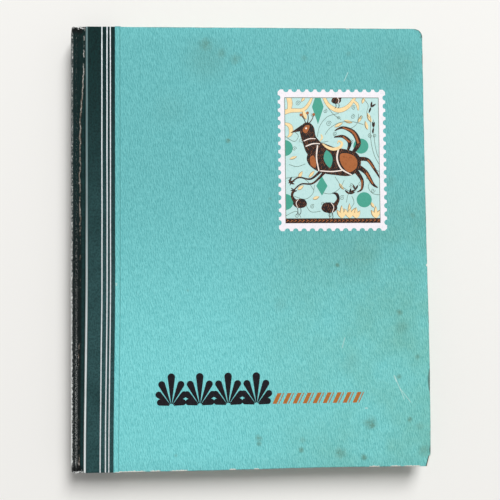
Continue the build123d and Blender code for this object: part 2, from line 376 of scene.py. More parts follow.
# The covering paper: teal, with an embossed grain that runs from head to tail. A range of two numbers says
# where a change starts and ends, and two more say from how much to how much.
tealPaper = {
    "colour": (137, 227, 229),
    "deepColour": (103, 196, 199),
    "grainWidth": 0.40,
    "grainLength": 2.6,
    "grainLean": -7.0,
    "grainHeight": 0.45,
    "grainRange": (0.38, 0.60),
    "fineHeight": 0.08,
    "fineShare": 0.4,
    "ribPitch": 1.12,
    "ribShare": 0.34,
    "ribHeight": 0.16,
    "ribDrift": 14.0,
    "gloss": (0.2, 0.8, 0.62, 0.80),
    # painted shade: the colour is made darker towards the head, standing in for weaker light there
    "paintedHeadShade": (0.73, 0.77, 0.77, 1.0),
    "paintedHeadShadeRange": (albumHeight * -0.30, albumHeight * 0.20),
    "agedTint": (0.88, 0.76, 0.64, 1.0),
    "agedAmount": 0.95,
    "agedAcross": (albumWidth * 0.35, albumWidth * 0.95, 0.05, 1.0),
    "agedUp": (albumHeight * 0.35, albumHeight * -0.05, 0.35, 1.0),
    "agedClouds": (0.25, 0.75, 0.25, 1.0),
    # painted shadow: a dark line where the paper steps down from the cloth
    "paintedShadowLineColour": (60, 130, 128),
    "paintedShadowLinePlace": (lapEnd - 0.25, lapEnd + 0.15, 0.25),
    "paintedShadowLineAmount": 0.65,
    "edgeColour": (92, 128, 120),
    "edgeRaggedness": 2.6,
    "edgeRange": (-0.35, 0.75, 0.75, 0.0),
    "coreColour": (240, 236, 226),
    "coreRange": (0.12, 0.42, 0.95, 0.0),
    "chips": [
        # x, y, reach
        (29.5, -112.3, 9.0), (42.0, -112.3, 3.0), (53.5, -112.3, 5.0), (80.0, -112.3, 2.0),
        (92.0, -112.3, 1.5), (151.5, -112.3, 3.0), (170.5, -112.3, 5.0), (141.2, 112.3, 1.2),
        (162.0, -112.3, 3.0), (180.0, -10.5, 0.9), (180.0, 112.0, 0.9),
    ],
    "scratchColour": (196, 232, 226),
    "scratchFade": 0.25,
    "scratchAmount": 0.55,
    "scratches": [
        # from x, y to x, y, half width
        (161.8, -66.5, 162.9, -69.3, 0.24), (162.3, -67.6, 164.9, -73.6, 0.10),
        (164.9, -73.6, 166.7, -78.2, 0.06), (164.6, -72.8, 169.9, -79.8, 0.08),
        (139.0, 84.6, 141.0, 89.0, 0.12), (147.4, -82.5, 148.0, -82.5, 0.35),
        (22.0, -19.4, 22.0, -18.6, 0.30), (136.0, -52.0, 137.4, -47.0, 0.10),
    ],
    "soiledColour": (74, 98, 90),
    "dents": [
        # y, half its length, depth
        (-69.0, 7.0, 1.3), (-104.0, 3.0, 0.7), (96.0, 4.0, 0.5),
    ],
    "dentAmount": 0.75,
    "headLine": (0.35, 0.65, 0.8, 0.0),
    "headLinePatches": (0.35, 0.55),
    "cornerRub": 0.8,
    "knockFacing": (0.977, -0.213),
    "knockStart": 5.8,
    "knockEnd": (6.5 - albumHeight / 2, 5.0 - albumHeight / 2),
    "knockDark": (40, 62, 58),
    "knockPale": (240, 238, 228),
    "spotColour": (92, 130, 108),
    "spotWobble": 4.0,
    "spotFlecks": (0.30, 0.62, 0.65, 1.45),
    "spots": [
        # x, y, radius, amount
        (67.6, 103.4, 3.4, 0.34), (76.0, 98.5, 2.6, 0.26), (82.9, 95.7, 3.2, 0.30), (79.0, 53.7, 1.5, 0.55),
        (134.3, -10.2, 1.2, 0.60), (165.0, -34.5, 1.8, 0.50), (149.6, -90.1, 3.6, 0.42),
        (150.4, -91.3, 1.4, 0.50), (114.8, -103.1, 1.6, 0.55), (115.5, -98.0, 1.6, 0.25),
        (134.6, -105.0, 3.2, 0.40), (146.3, -107.2, 1.8, 0.60), (169.5, -88.5, 1.6, 0.45),
        (174.5, -92.0, 2.2, 0.25), (93.1, -96.7, 1.9, 0.45), (93.4, -99.5, 1.4, 0.50),
        (173.7, -57.2, 1.5, 0.40), (164.1, -67.0, 1.6, 0.40), (118.5, 96.5, 1.8, 0.25),
        (58.0, -22.5, 0.9, 0.30), (176.5, -104.0, 3.4, 0.30), (100.2, 24.0, 0.9, 0.30),
        (173.0, 15.0, 1.6, 0.30), (52.0, -104.5, 1.1, 0.30), (141.5, 99.0, 1.5, 0.20),
        (166.0, -42.0, 3.6, 0.22), (162.0, 33.0, 3.0, 0.15), (105.0, -30.0, 4.0, 0.12),
        (140.0, -60.0, 5.0, 0.12), (68.0, 96.0, 13.0, 0.16), (49.0, 70.0, 10.0, 0.07),
        (142.0, -2.0, 16.0, 0.12), (166.0, 92.0, 12.0, 0.10),
    ],
}


def paperRelief(f, place, share=1.0):
    # the paper's broad and fine heights, and the relief that they make
    t = tealPaper
    turn = {"Vector": place, "Angle": math.radians(t["grainLean"])}
    leaning = f.add("ShaderNodeVectorRotate", turn, rotation_type="Z_AXIS").outputs[0]
    strokes = f.noise(leaning, (1 / t["grainWidth"], 1 / t["grainLength"], 0.4))
    # faint ribs from head to tail, broken up by a slow noise
    drift = f.noise(leaning, (0.45, 0.30, 0.4))
    ribs = f.scaled(f.axes(leaning)[0], 2 * math.pi / t["ribPitch"], f.times(drift, t["ribDrift"]))
    ribs = f.times(f.maths("SINE", ribs), t["ribHeight"])
    ribs = f.scaled(ribs, t["ribShare"], 0.5 * t["ribShare"])
    broad = f.scaled(strokes, 1 - t["ribShare"], ribs)
    fine = f.noise(leaning, (2.6, 0.9, 2.0), 3.0, 0.6)
    under = f.bump(broad, t["grainHeight"] * share)
    return broad, fine, f.bump(fine, t["fineHeight"] * share, under)


def markCover(f, place, colour, side, toEdge):
    # the stains, scratches, chips and dents of the front cover
    t = tealPaper
    x, y = f.axes(place)[:2]
    # foxing spots, each a soft round stain with a ragged rim
    wobble = f.scaled(f.noise(place, 0.55, 4.0, 0.65), t["spotWobble"], -t["spotWobble"] / 2)
    fleck = f.ramp(f.noise(place, 1.3, 3.0, 0.7), *t["spotFlecks"])
    for spotX, spotY, radius, amount in t["spots"]:
        away = f.scaled(wobble, min(radius / 3.0, 1.0), f.away(place, spotX, spotY))
        mask = f.times(f.ramp(away, radius * 0.1, radius * 1.35, amount, 0.0), fleck)
        colour = f.mix(mask, colour, t["spotColour"])
    for *line, half in t["scratches"]:
        mask = f.ramp(f.awayFromLine(x, y, *line), half + t["scratchFade"], half, 0.0, t["scratchAmount"])
        colour = f.mix(mask, colour, t["scratchColour"])
    # places where the edge has lost its colour, down to the paper's core
    frayed = f.scaled(f.noise(place, 1.1, 3.0, 0.6), -1.1, toEdge)
    atEdge = f.ramp(frayed, *t["coreRange"])
    for chipX, chipY, reach in t["chips"]:
        mask = f.times(f.ramp(f.away(place, chipX, chipY), reach, reach * 0.6), atEdge)
        colour = f.mix(mask, colour, t["coreColour"])
    # soiled hollows along the fore-edge, a soiled line along the head, and the rubbed round corner there
    for dentY, half, depth in t["dents"]:
        bow = f.scaled(y, 1 / half, -dentY / half)
        hollow = f.scaled(f.times(bow, bow), depth, side)
        mask = f.ramp(hollow, depth * 0.7, depth * 1.2, t["dentAmount"], 0.0)
        colour = f.mix(mask, colour, t["soiledColour"])
    headLine = f.ramp(f.minus(albumHeight / 2, y), *t["headLine"])
    headLine = f.times(headLine, f.ramp(f.noise(place, 0.12, 3.0, 0.6), *t["headLinePatches"]))
    colour = f.mix(headLine, colour, t["soiledColour"])
    radius = coverPaper["headCorner"]
    middleX, middleY = albumWidth - radius, albumHeight / 2 - radius
    away = f.plus(f.away(place, middleX, middleY), wobble)
    arc = f.ramp(away, radius - 1.1, radius - 0.4, 0.0, t["cornerRub"])
    arc = f.times(arc, f.ramp(x, middleX - 0.6, middleX + 0.8))
    arc = f.times(arc, f.ramp(y, middleY - 1.6, middleY - 0.2))
    colour = f.mix(arc, colour, t["soiledColour"])
    # the knocked corner at the tail: a dark break, then bare core
    facingX, facingY = t["knockFacing"]
    slant = f.scaled(y, facingY, f.times(x, facingX))
    slant = f.minus(slant, facingX * albumWidth - facingY * (albumHeight / 2 - t["knockStart"]))
    low = f.ramp(y, *t["knockEnd"])
    colour = f.mix(f.times(f.ramp(slant, -1.25, -0.95), low), colour, t["knockDark"])
    return f.mix(f.times(f.ramp(slant, -0.75, -0.55), low), colour, t["knockPale"])


def makeTealPaper(name, marked):
    t = tealPaper
    f = finishNodes(name)
    place = f.place()
    x, y = f.axes(place)[:2]
    broad, fine, normal = paperRelief(f, place)
    valleys = f.scaled(fine, t["fineShare"], f.times(broad, 1 - t["fineShare"]))
    colour = f.mix(f.ramp(valleys, *t["grainRange"]), t["deepColour"], t["colour"])
    # painted shade, darker towards the head; then ageing, blotchy and browner towards the fore-edge
    colour = f.mix(f.ramp(y, *t["paintedHeadShadeRange"]), colour, t["paintedHeadShade"], "MULTIPLY")
    towardsEdge = f.times(f.ramp(x, *t["agedAcross"]), f.ramp(y, *t["agedUp"]))
    aged = f.times(f.ramp(f.noise(place, 0.028, 4.0, 0.6), *t["agedClouds"]), towardsEdge)
    colour = f.mix(f.times(aged, t["agedAmount"]), colour, t["agedTint"], "MULTIPLY")
    # a painted shadow line in the hollow where the paper steps down from the cloth
    paintedShadowLine = f.times(f.band(x, *t["paintedShadowLinePlace"]), t["paintedShadowLineAmount"])
    colour = f.mix(paintedShadowLine, colour, t["paintedShadowLineColour"])
    # rubbed and soiled edges
    side, _, toEdge = f.edges(x, y)
    ragged = f.plus(toEdge, t["edgeRaggedness"] / 2)
    ragged = f.scaled(f.noise(place, 0.35, 5.0, 0.65), -t["edgeRaggedness"], ragged)
    colour = f.mix(f.ramp(ragged, *t["edgeRange"]), colour, t["edgeColour"])
    if marked:
        colour = markCover(f, place, colour, side, toEdge)
    return f.finish(colour, f.ramp(fine, *t["gloss"]), 0.32, normal)


# The book cloth: dark green, close woven, rubbed pale on its ridges, with a painted highlight along the
# board's edge, and cracked in the joint
bookCloth = {
    "colour": (8, 48, 47),
    "deepColour": (3, 35, 35),
    "slubRange": (0.3, 0.7),
    "slubHeight": 0.05,
    "threadPitch": 0.42,
    "weaveHeight": 0.045,
    "weaveFade": (-1.0, 1.0, 0.0, 0.12),
    "fadedColour": (61, 101, 103),
    "fadedUp": (albumHeight * 0.50, -albumHeight * 0.15, 0.0, 0.66),
    "fadedClouds": (0.25, 0.7, 0.5, 1.0),
    "fadedAcross": (6.5, 9.0, 0.25, 1.0),
    "threadShade": (0.62, 0.66, 0.66, 1.0),
    "threadRange": (0.42, 0.62),
    "frontLevel": (albumTop * 0.45, albumTop * 0.6),
    "tailRange": (albumHeight * 0.30, -albumHeight * 0.42),
    "panelAcross": (5.2, 4.2),
    "panelUp": (60.0, -30.0, 0.35, 0.85),
    "rubbedColour": (250, 252, 250),
    "spineRub": (-1.0, 1.15, 0.3),
    "spineRubLevel": (spineHigh[2] - 1.9, spineHigh[2] - 0.8),
    "spineRubOuter": (0.9, 0.2, 0.0, 0.12),
    "spineRubTail": 2.3,
    "spineRubGate": (0.485, 0.60, 0.03),
    "spineRubMost": (0.0, 1.0, 0.72, 1.0),
    "shoulderRub": (2.3, 3.1, 0.6),
    "shoulderTail": 0.10,
    "shoulderGate": (0.63, 0.72, 0.0, 0.95),
    "crackColour": (126, 108, 92),
    "crackPlace": (3.85, 4.20),
    "crackSoft": 0.28,
    "crackSway": 1.6,
    "crackJitter": 1.3,
    "crackShift": 1.45,
    "crackTurn": 1.7,
    "crackTurnUp": (50.0, 105.0),
    "crackFewerUp": (20.0, -40.0, 0.0, 0.20),
    "crackGate": (0.62, 0.74, 0.0, 0.95),
    "coreSoft": 0.12,
    "coreMoreUp": (70.0, 100.0, 0.0, 0.10),
    "coreGate": (0.52, 0.62, 0.0, 0.95),
    # rubbing and a painted highlight along the board's edge, greyer at the head and near white at the tail
    "ridgeRubAndHighlight": (120, 150, 152),
    "ridgeRubAndHighlightBright": (248, 255, 255),
    "ridgePlace": (6.42, 7.55, 0.28),
    "ridgeStreaks": (0.3, 0.6, 0.85, 1.0),
    "capColour": (10, 13, 13),
    "capReach": (5.0, 2.0, 0.0, 0.9),
    "capAcross": (6.0, 4.5),
    "scuffRaggedness": 7.0,
    "scuffAcross": (5.5, 8.0),
    "scuffRange": (-3.3, -2.8, 0.9, 0.0),
    "scuffLevel": (spineHigh[2] - 2.6, spineHigh[2] - 1.2, 0.25, 1.0),
}


def makeBookCloth():
    c = bookCloth
    f = finishNodes("bookCloth")
    place = f.place()
    x, y, z = f.axes(place)
    weave = f.weave(x, y, z, c["threadPitch"])
    slubs = f.noise(place, (1.2, 0.25, 1.2), 3.0, 0.6)
    colour = f.mix(f.ramp(slubs, *c["slubRange"]), c["deepColour"], c["colour"])
    colour = f.mix(f.ramp(weave, *c["weaveFade"]), colour, c["fadedColour"])
    faded = f.times(f.ramp(f.noise(place, 0.06, 4.0, 0.6), *c["fadedClouds"]), f.ramp(y, *c["fadedUp"]))
    colour = f.mix(f.times(faded, f.ramp(x, *c["fadedAcross"])), colour, c["fadedColour"])
    # single threads stand out darker
    threads = f.noise(place, (1.3, 0.9, 1.3), 2.0, 0.6)
    colour = f.mix(f.ramp(threads, *c["threadRange"]), colour, c["threadShade"], "MULTIPLY")
    front = f.ramp(z, *c["frontLevel"])
    tail = f.ramp(y, *c["tailRange"])
    # the spine panel is darker than the boards
    panel = f.times(f.ramp(x, *c["panelAcross"]), f.ramp(y, *c["panelUp"]))
    colour = f.mix(panel, colour, c["capColour"])

    def rub(band, gate, key):
        return f.mix(f.times(f.times(band, gate), front), colour, c[key])

    # the spine's outer corner, rubbed along its whole length
    band = f.times(f.band(x, *c["spineRub"]), f.ramp(z, *c["spineRubLevel"]))
    flecks = f.noise(place, (2.4, 1.1, 2.4), 3.0, 0.7)
    outermost = f.times(tail, f.ramp(x, *c["spineRubOuter"]))
    gate = f.plus(f.times(outermost, c["spineRubTail"]), flecks)
    gate = f.ramp(gate, *c["spineRubGate"], f.ramp(tail, *c["spineRubMost"]))
    colour = rub(band, gate, "rubbedColour")
    # the shoulder beside the joint, only speckled, and mostly towards the tail
    grit = f.noise(place, 3.2, 3.0, 0.75)
    gate = f.ramp(f.scaled(tail, c["shoulderTail"], grit), *c["shoulderGate"])
    colour = rub(f.band(x, *c["shoulderRub"]), gate, "rubbedColour")
    # the crack along the bottom of the joint, with a frayed pale core
    sway = f.scaled(f.noise(place, (0.1, 0.06, 0.1), 4.0, 0.7), c["crackSway"], x)
    sway = f.scaled(f.noise(place, (0.3, 0.55, 0.3), 3.0, 0.7), c["crackJitter"], sway)
    shift = f.ramp(y, *c["crackTurnUp"], c["crackShift"], c["crackShift"] + c["crackTurn"])
    sway = f.minus(sway, shift)
    patches = f.noise(place, (0.5, 0.05, 0.5), 4.0, 0.65)
    patches = f.minus(patches, f.ramp(y, *c["crackFewerUp"]))
    patches = f.scaled(f.noise(place, (0.5, 0.45, 0.5), 3.0, 0.65), 0.5, patches)
    gate = f.ramp(patches, *c["crackGate"])
    colour = rub(f.band(sway, *c["crackPlace"], c["crackSoft"]), gate, "crackColour")
    core = f.times(f.ramp(f.plus(grit, f.ramp(y, *c["coreMoreUp"])), *c["coreGate"]), gate)
    colour = rub(f.band(sway, *c["crackPlace"], c["coreSoft"]), core, "rubbedColour")
    # the board's edge under the cloth: rubbed streaks and a painted highlight along its rounded edge,
    # brighter towards the tail
    ridgeRubAndHighlight = f.mix(tail, c["ridgeRubAndHighlight"], c["ridgeRubAndHighlightBright"])
    streaks = f.ramp(f.noise(place, (0.8, 0.12, 0.8), 3.0, 0.6), *c["ridgeStreaks"])
    ridge = f.times(f.times(f.band(x, *c["ridgePlace"]), streaks), front)
    colour = f.mix(ridge, colour, ridgeRubAndHighlight)
    # head and tail, where fingers pull the book from a shelf
    ends = f.edges(x, y)[1]
    capped = f.times(f.ramp(ends, *c["capReach"]), f.ramp(x, *c["capAcross"]))
    colour = f.mix(capped, colour, c["capColour"])
    scuff = f.scaled(f.noise(place, 1.9, 4.0, 0.7), -c["scuffRaggedness"], ends)
    scuff = f.ramp(f.plus(scuff, f.ramp(x, *c["scuffAcross"])), *c["scuffRange"])
    colour = f.mix(f.times(scuff, f.ramp(z, *c["scuffLevel"])), colour, c["rubbedColour"])
    normal = f.bump(weave, c["weaveHeight"], f.bump(slubs, c["slubHeight"]))
    return f.finish(colour, 0.72, 0.16, normal)


# Plain papers, cards and small cloths
plainStocks = {
    "endpaper": {"colour": (232, 226, 208), "toned": (206, 192, 162), "fibre": 0.9, "height": 0.03},
    "leafCard": {"colour": (236, 232, 219), "toned": (214, 203, 178), "fibre": 1.4, "height": 0.02},
    "greyboard": {"colour": (150, 144, 132), "toned": (118, 110, 98), "fibre": 2.2, "height": 0.06},
}


def makeStock(name, onCad):
    settings = plainStocks[name]
    f = finishNodes(name + ("Cad" if onCad else ""))
    place = f.place(onCad)
    fibres = f.noise(place, (settings["fibre"], settings["fibre"] * 0.35, 3.0), 5.0, 0.7)
    # toned in clouds, and more towards the edges
    clouds = f.noise(place, 0.03, 3.0, 0.55)
    toEdge = f.edges(*f.axes(place)[:2])[2]
    toning = f.ramp(f.scaled(clouds, -14.0, toEdge), -4.0, 10.0, 0.85, 0.08)
    colour = f.mix(toning, settings["colour"], settings["toned"])
    colour = f.mix(f.ramp(fibres, 0.62, 0.80, 0.0, 0.25), colour, settings["toned"])
    return f.finish(colour, 0.82, 0.25, f.bump(fibres, settings["height"]))


smallCloths = {
    "hingeCloth": {"colour": (226, 221, 206), "dark": (190, 182, 162), "pitch": 0.5, "height": 0.06},
    "gauze": {"colour": (214, 206, 186), "dark": (150, 138, 112), "pitch": 1.1, "height": 0.10},
    "endBand": {"colour": (222, 214, 192), "dark": (66, 98, 98), "pitch": 1.6, "height": 0.12},
    "thread": {"colour": (232, 226, 208), "dark": (186, 176, 150), "pitch": 0.4, "height": 0.08},
}


def makeSmallCloth(name, onCad):
    settings = smallCloths[name]
    f = finishNodes(name)
    place = f.place(onCad)
    weave = f.weave(*f.axes(place), settings["pitch"])
    colour = f.mix(f.ramp(weave, -1.0, 0.8, 0.75, 0.0), settings["colour"], settings["dark"])
    clouds = f.ramp(f.noise(place, 0.2, 3.0, 0.6), 0.3, 0.8, 0.0, 0.3)
    colour = f.mix(clouds, colour, settings["dark"])
    return f.finish(colour, 0.85, 0.2, f.bump(weave, settings["height"]))


# Clear film, its frosted welds, and glassine
clearSheets = {
    # colour, least and most alpha, roughness, height of the waves and their scale
    "pocketFilm": ((238, 243, 244), (0.13, 0.22), 0.12, 0.03, 0.08),
    "filmWeld": ((236, 240, 240), (0.50, 0.72), 0.42, 0.05, 1.6),
    "glassine": ((240, 240, 234), (0.46, 0.62), 0.38, 0.05, 0.12),
}


def makeClearSheet(name):
    colour, alphaRange, roughness, height, scale = clearSheets[name]
    f = finishNodes(name)
    place = f.place()
    clouds = f.noise(place, scale, 4.0, 0.6)
    fibres = f.noise(place, (1.5, 0.5, 1.0), 4.0, 0.7)
    alpha = f.ramp(f.scaled(fibres, 0.4, f.times(clouds, 0.6)), 0.35, 0.65, *alphaRange)
    return f.finish(colour, roughness, 0.6, f.bump(clouds, height), alpha)


# Printing inks and stamped foils. Each lets the grain of the paper show through.
inks = {
    # colour, worn colour, roughness, share of the relief, metallic
    "printWhite": ((252, 246, 252), (222, 232, 234), 0.55, 0.35),
    "printMint": ((198, 234, 231), (176, 218, 216), 0.5, 0.35),
    "printEdge": ((150, 122, 84), (176, 160, 124)),
    "printCream": ((255, 228, 172), (240, 200, 138)),
    "printJade": ((72, 166, 144), (86, 178, 158)),
    "printLine": ((112, 132, 118), (150, 176, 164)),
    "printBrown": ((28, 17, 16), (50, 32, 26)),
    "printRust": ((176, 102, 52), (140, 76, 38), 0.45),
    "printGem": ((72, 166, 144), (86, 178, 158)),
    "printSash": ((255, 228, 172), (240, 200, 138)),
    "printTrim": ((252, 240, 230), (222, 210, 196)),
    "titleBlack": ((20, 17, 23), (38, 36, 44), 0.5, 0.55),
    "titleCopper": ((205, 128, 62), (160, 94, 62), 0.38, 0.55, 0.45),
    "stripeSilver": ((232, 238, 242), (176, 190, 192), 0.40, 0.2, 0.20),
}


def makeInk(name, ink, wornInk, roughness=0.5, grain=0.3, metallic=0.0):
    f = finishNodes(name)
    place = f.place()
    fine, normal = paperRelief(f, place, grain)[1:]
    patches = f.noise(place, 0.5, 5.0, 0.7)
    worn = f.ramp(f.scaled(fine, 0.5, f.times(patches, 0.5)), 0.48, 0.66, 0.0, 0.8)
    colour = f.mix(worn, ink, wornInk)
    if name == "printBrown":
        # fine engraved lines, broken up
        x, y = f.axes(place)[:2]
        waves = f.sine(f.plus(x, f.times(f.sine(y, 2.4), 0.35)), 6.2)
        breaks = f.ramp(f.noise(place, 0.9), 0.46, 0.56)
        lines = f.times(f.ramp(waves, 0.55, 0.9, 0.0, 0.7), breaks)
        colour = f.mix(lines, colour, inks["printRust"][0])
    gloss = f.ramp(patches, 0.3, 0.7, roughness - 0.06, roughness + 0.12)
    return f.finish(colour, gloss, 0.2, normal, metallic=metallic)


print("materials")
frontTeal = makeTealPaper("tealPaperFront", True)
backTeal = makeTealPaper("tealPaperBack", False)
clothGreen = makeBookCloth()
endpaper = makeStock("endpaper", False)
leafCard = makeStock("leafCard", True)
greyboard = makeStock("greyboard", True)
hingeCloth = makeSmallCloth("hingeCloth", False)
gauze = makeSmallCloth("gauze", True)
endBand = makeSmallCloth("endBand", True)
threadFibre = makeSmallCloth("thread", True)
pocketFilm = makeClearSheet("pocketFilm")
filmWeld = makeClearSheet("filmWeld")
glassine = makeClearSheet("glassine")
inkMaterials = {name: makeInk(name, *looks) for name, looks in inks.items()}


def hump(value, place, width):
    spread = (value - place) / width
    return math.exp(-spread * spread)


def makeCoverPaper(name, nodes, body, material, turned):
    s = coverPaper
    low, high = boardLow[2] - paperThickness, boardHigh[2] + paperThickness
    halfHeight = boardHigh[1] + paperThickness
    outline = roundedLoop([
        (lapStart, -halfHeight, 0.0),
        (albumWidth - s["tailCorner"][0], -halfHeight, 0.4),
        (albumWidth, -halfHeight + s["tailCorner"][1], 1.5),
        (albumWidth, halfHeight, s["headCorner"]),
        (lapStart, halfHeight, 0.0),
    ], steps=8)
    cutsX = [lapEnd + cut for cut in s["lapCuts"]]
    cutsX += everyStep(lapEnd + s["lapCuts"][-1], albumWidth - s["edgeStrip"], s["stripWidth"])
    cutsY = everyStep(-halfHeight + s["edgeStrip"], halfHeight - s["edgeStrip"], s["stripWidth"])
    bm = plate(outline, low, high, s["edgeRadius"], cutsX, cutsY)
    middle = (low + high) / 2
    places = bm.verts.layers.float_vector.new("restPlace")
    for vertex in bm.verts:
        x, y, z = vertex.co
        vertex[places] = (x, y, z)
        # over the cloth the paper stands higher
        lap = clothThickness * (1 - smoothStep(lapEnd - 0.1, lapEnd + s["lapFade"], x))
        outward = 1 if z > middle else -1
        vertex.co.z += outward * lap * smoothStep(0.6, 1.2, abs(z - middle))
        vertex.co.y += math.copysign(lap * smoothStep(halfHeight - 2.5, halfHeight, abs(y)), y)
        # the tail edge is worn a little hollow, and the corners are knocked in
        if y < 0:
            hollow = s["tailHollow"] * hump(x, s["tailHollowPlace"], s["tailHollowWidth"])
            vertex.co.y += hollow * smoothStep(halfHeight - s["tailHollowReach"], halfHeight, -y)
        corner = smoothStep(s["cornerReach"], 0.0, math.hypot(albumWidth - x, halfHeight - abs(y)))
        vertex.co.x -= s["cornerKnock"] * corner * (1.0 if y < 0 else s["headKnockShare"])
        # the fore-edge has spread, most of all below its middle
        outermost = smoothStep(albumWidth - s["foreEdgeReach"], albumWidth, x)
        bulge = s["foreEdgeBulge"] * hump(y, s["foreEdgeBulgePlace"], s["foreEdgeBulgeWidth"])
        vertex.co.x += s["foreEdgeSpread"] * outermost
        vertex.co.x += bulge * outermost
        # small dents all round
        nearest = min(albumWidth - x, halfHeight - abs(y))
        ragged = noise.noise(Vector((x * s["raggedScale"], y * s["raggedScale"], 3.0 if turned else 9.0)))
        dent = ragged * s["raggedEdge"] * smoothStep(s["raggedReach"], 0.0, nearest)
        vertex.co.x -= dent if x > albumWidth - 3 else 0
        vertex.co.y -= math.copysign(dent, y)
    if turned:
        for vertex in bm.verts:
            vertex.co.z = albumTop - vertex.co.z
            vertex[places].z = albumTop - vertex[places].z
    piece = finishMesh(name, bm, [material], body, leaning=True)
    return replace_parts(piece, *nodes)


makeCoverPaper("frontCoverPaper", ["front_paper"], "front_cover", frontTeal, False)
makeCoverPaper("backCoverPaper", ["back_paper"], "back_cover", backTeal, True)
print("cover papers")


# The cloth. Its section is drawn as (x, z) corners with a radius each, and swept from tail to head.
clothShape = {
    "boardRidgeRadius": 0.65,
    "grooveRadius": 0.7,
    "shoulderRadius": 0.9,
    "spineRadius": 1.5,
    "grooveFloor": 2.3,
    "grooveStart": 4.0,
    "grooveEnd": 6.1,
    "shoulderEnd": 2.7,
    "spineThickness": 1.7,
    "overlap": 0.6,
    "endRadius": 0.4,
    "stationStep": 5.0,
    "unevenness": 0.10,
    "capCrush": 0.3,
    "crushReach": 4.5,
    "capRise": 0.45,
    "capReach": 3.0,
}


def insetLoop(loop, distance):
    points = [Vector(p) for p in loop]
    moved = []
    for index, point in enumerate(points):
        before = point - points[index - 1]
        after = points[(index + 1) % len(points)] - point
        before = before.normalized() if before.length > 1e-9 else after.normalized()
        after = after.normalized() if after.length > 1e-9 else before
        along = before + after
        along = along.normalized() if along.length > 1e-9 else before
        moved.append(tuple(point + Vector((-along.y, along.x)) * distance))
    return moved


def signedArea(loop):
    return sum(a[0] * b[1] - b[0] * a[1] for a, b in zip(loop, loop[1:] + loop[:1])) / 2


def joinRings(bm, rings):
    for lower, upper in zip(rings, rings[1:]):
        for index in range(len(lower)):
            following = (index + 1) % len(lower)
            bm.faces.new((lower[index], lower[following], upper[following], upper[index]))


def sweepSection(loop, halfLength, shape):
    # a closed section swept along y, with softly rounded ends
    if signedArea(loop) < 0:
        loop = loop[::-1]
    radius = clothShape["endRadius"]
    turns = (0.0, 0.5, 1.0, math.pi / 2)
    ends = [(halfLength - radius * (1 - math.cos(turn)), radius * (1 - math.sin(turn))) for turn in turns]
    ends += [(halfLength - distance, 0.0) for distance in (1.0, 2.0, 3.5, 5.0)]
    inner = everyStep(-halfLength + radius, halfLength - radius, clothShape["stationStep"])
    stations = [(-y, inset) for y, inset in ends]
    stations += [(y, 0.0) for y in inner if abs(y) < halfLength - 5.5]
    stations += ends[::-1]
    bm = bmesh.new()
    rings = []
    for y, inset in stations:
        ring = insetLoop(loop, inset) if inset else loop
        rings.append([bm.verts.new((x, y, z)) for x, z in ring])
    joinRings(bm, rings)
    bm.faces.new(rings[0])
    bm.faces.new(rings[-1][::-1])
    for vertex in bm.verts:
        shape(vertex)
    return bm


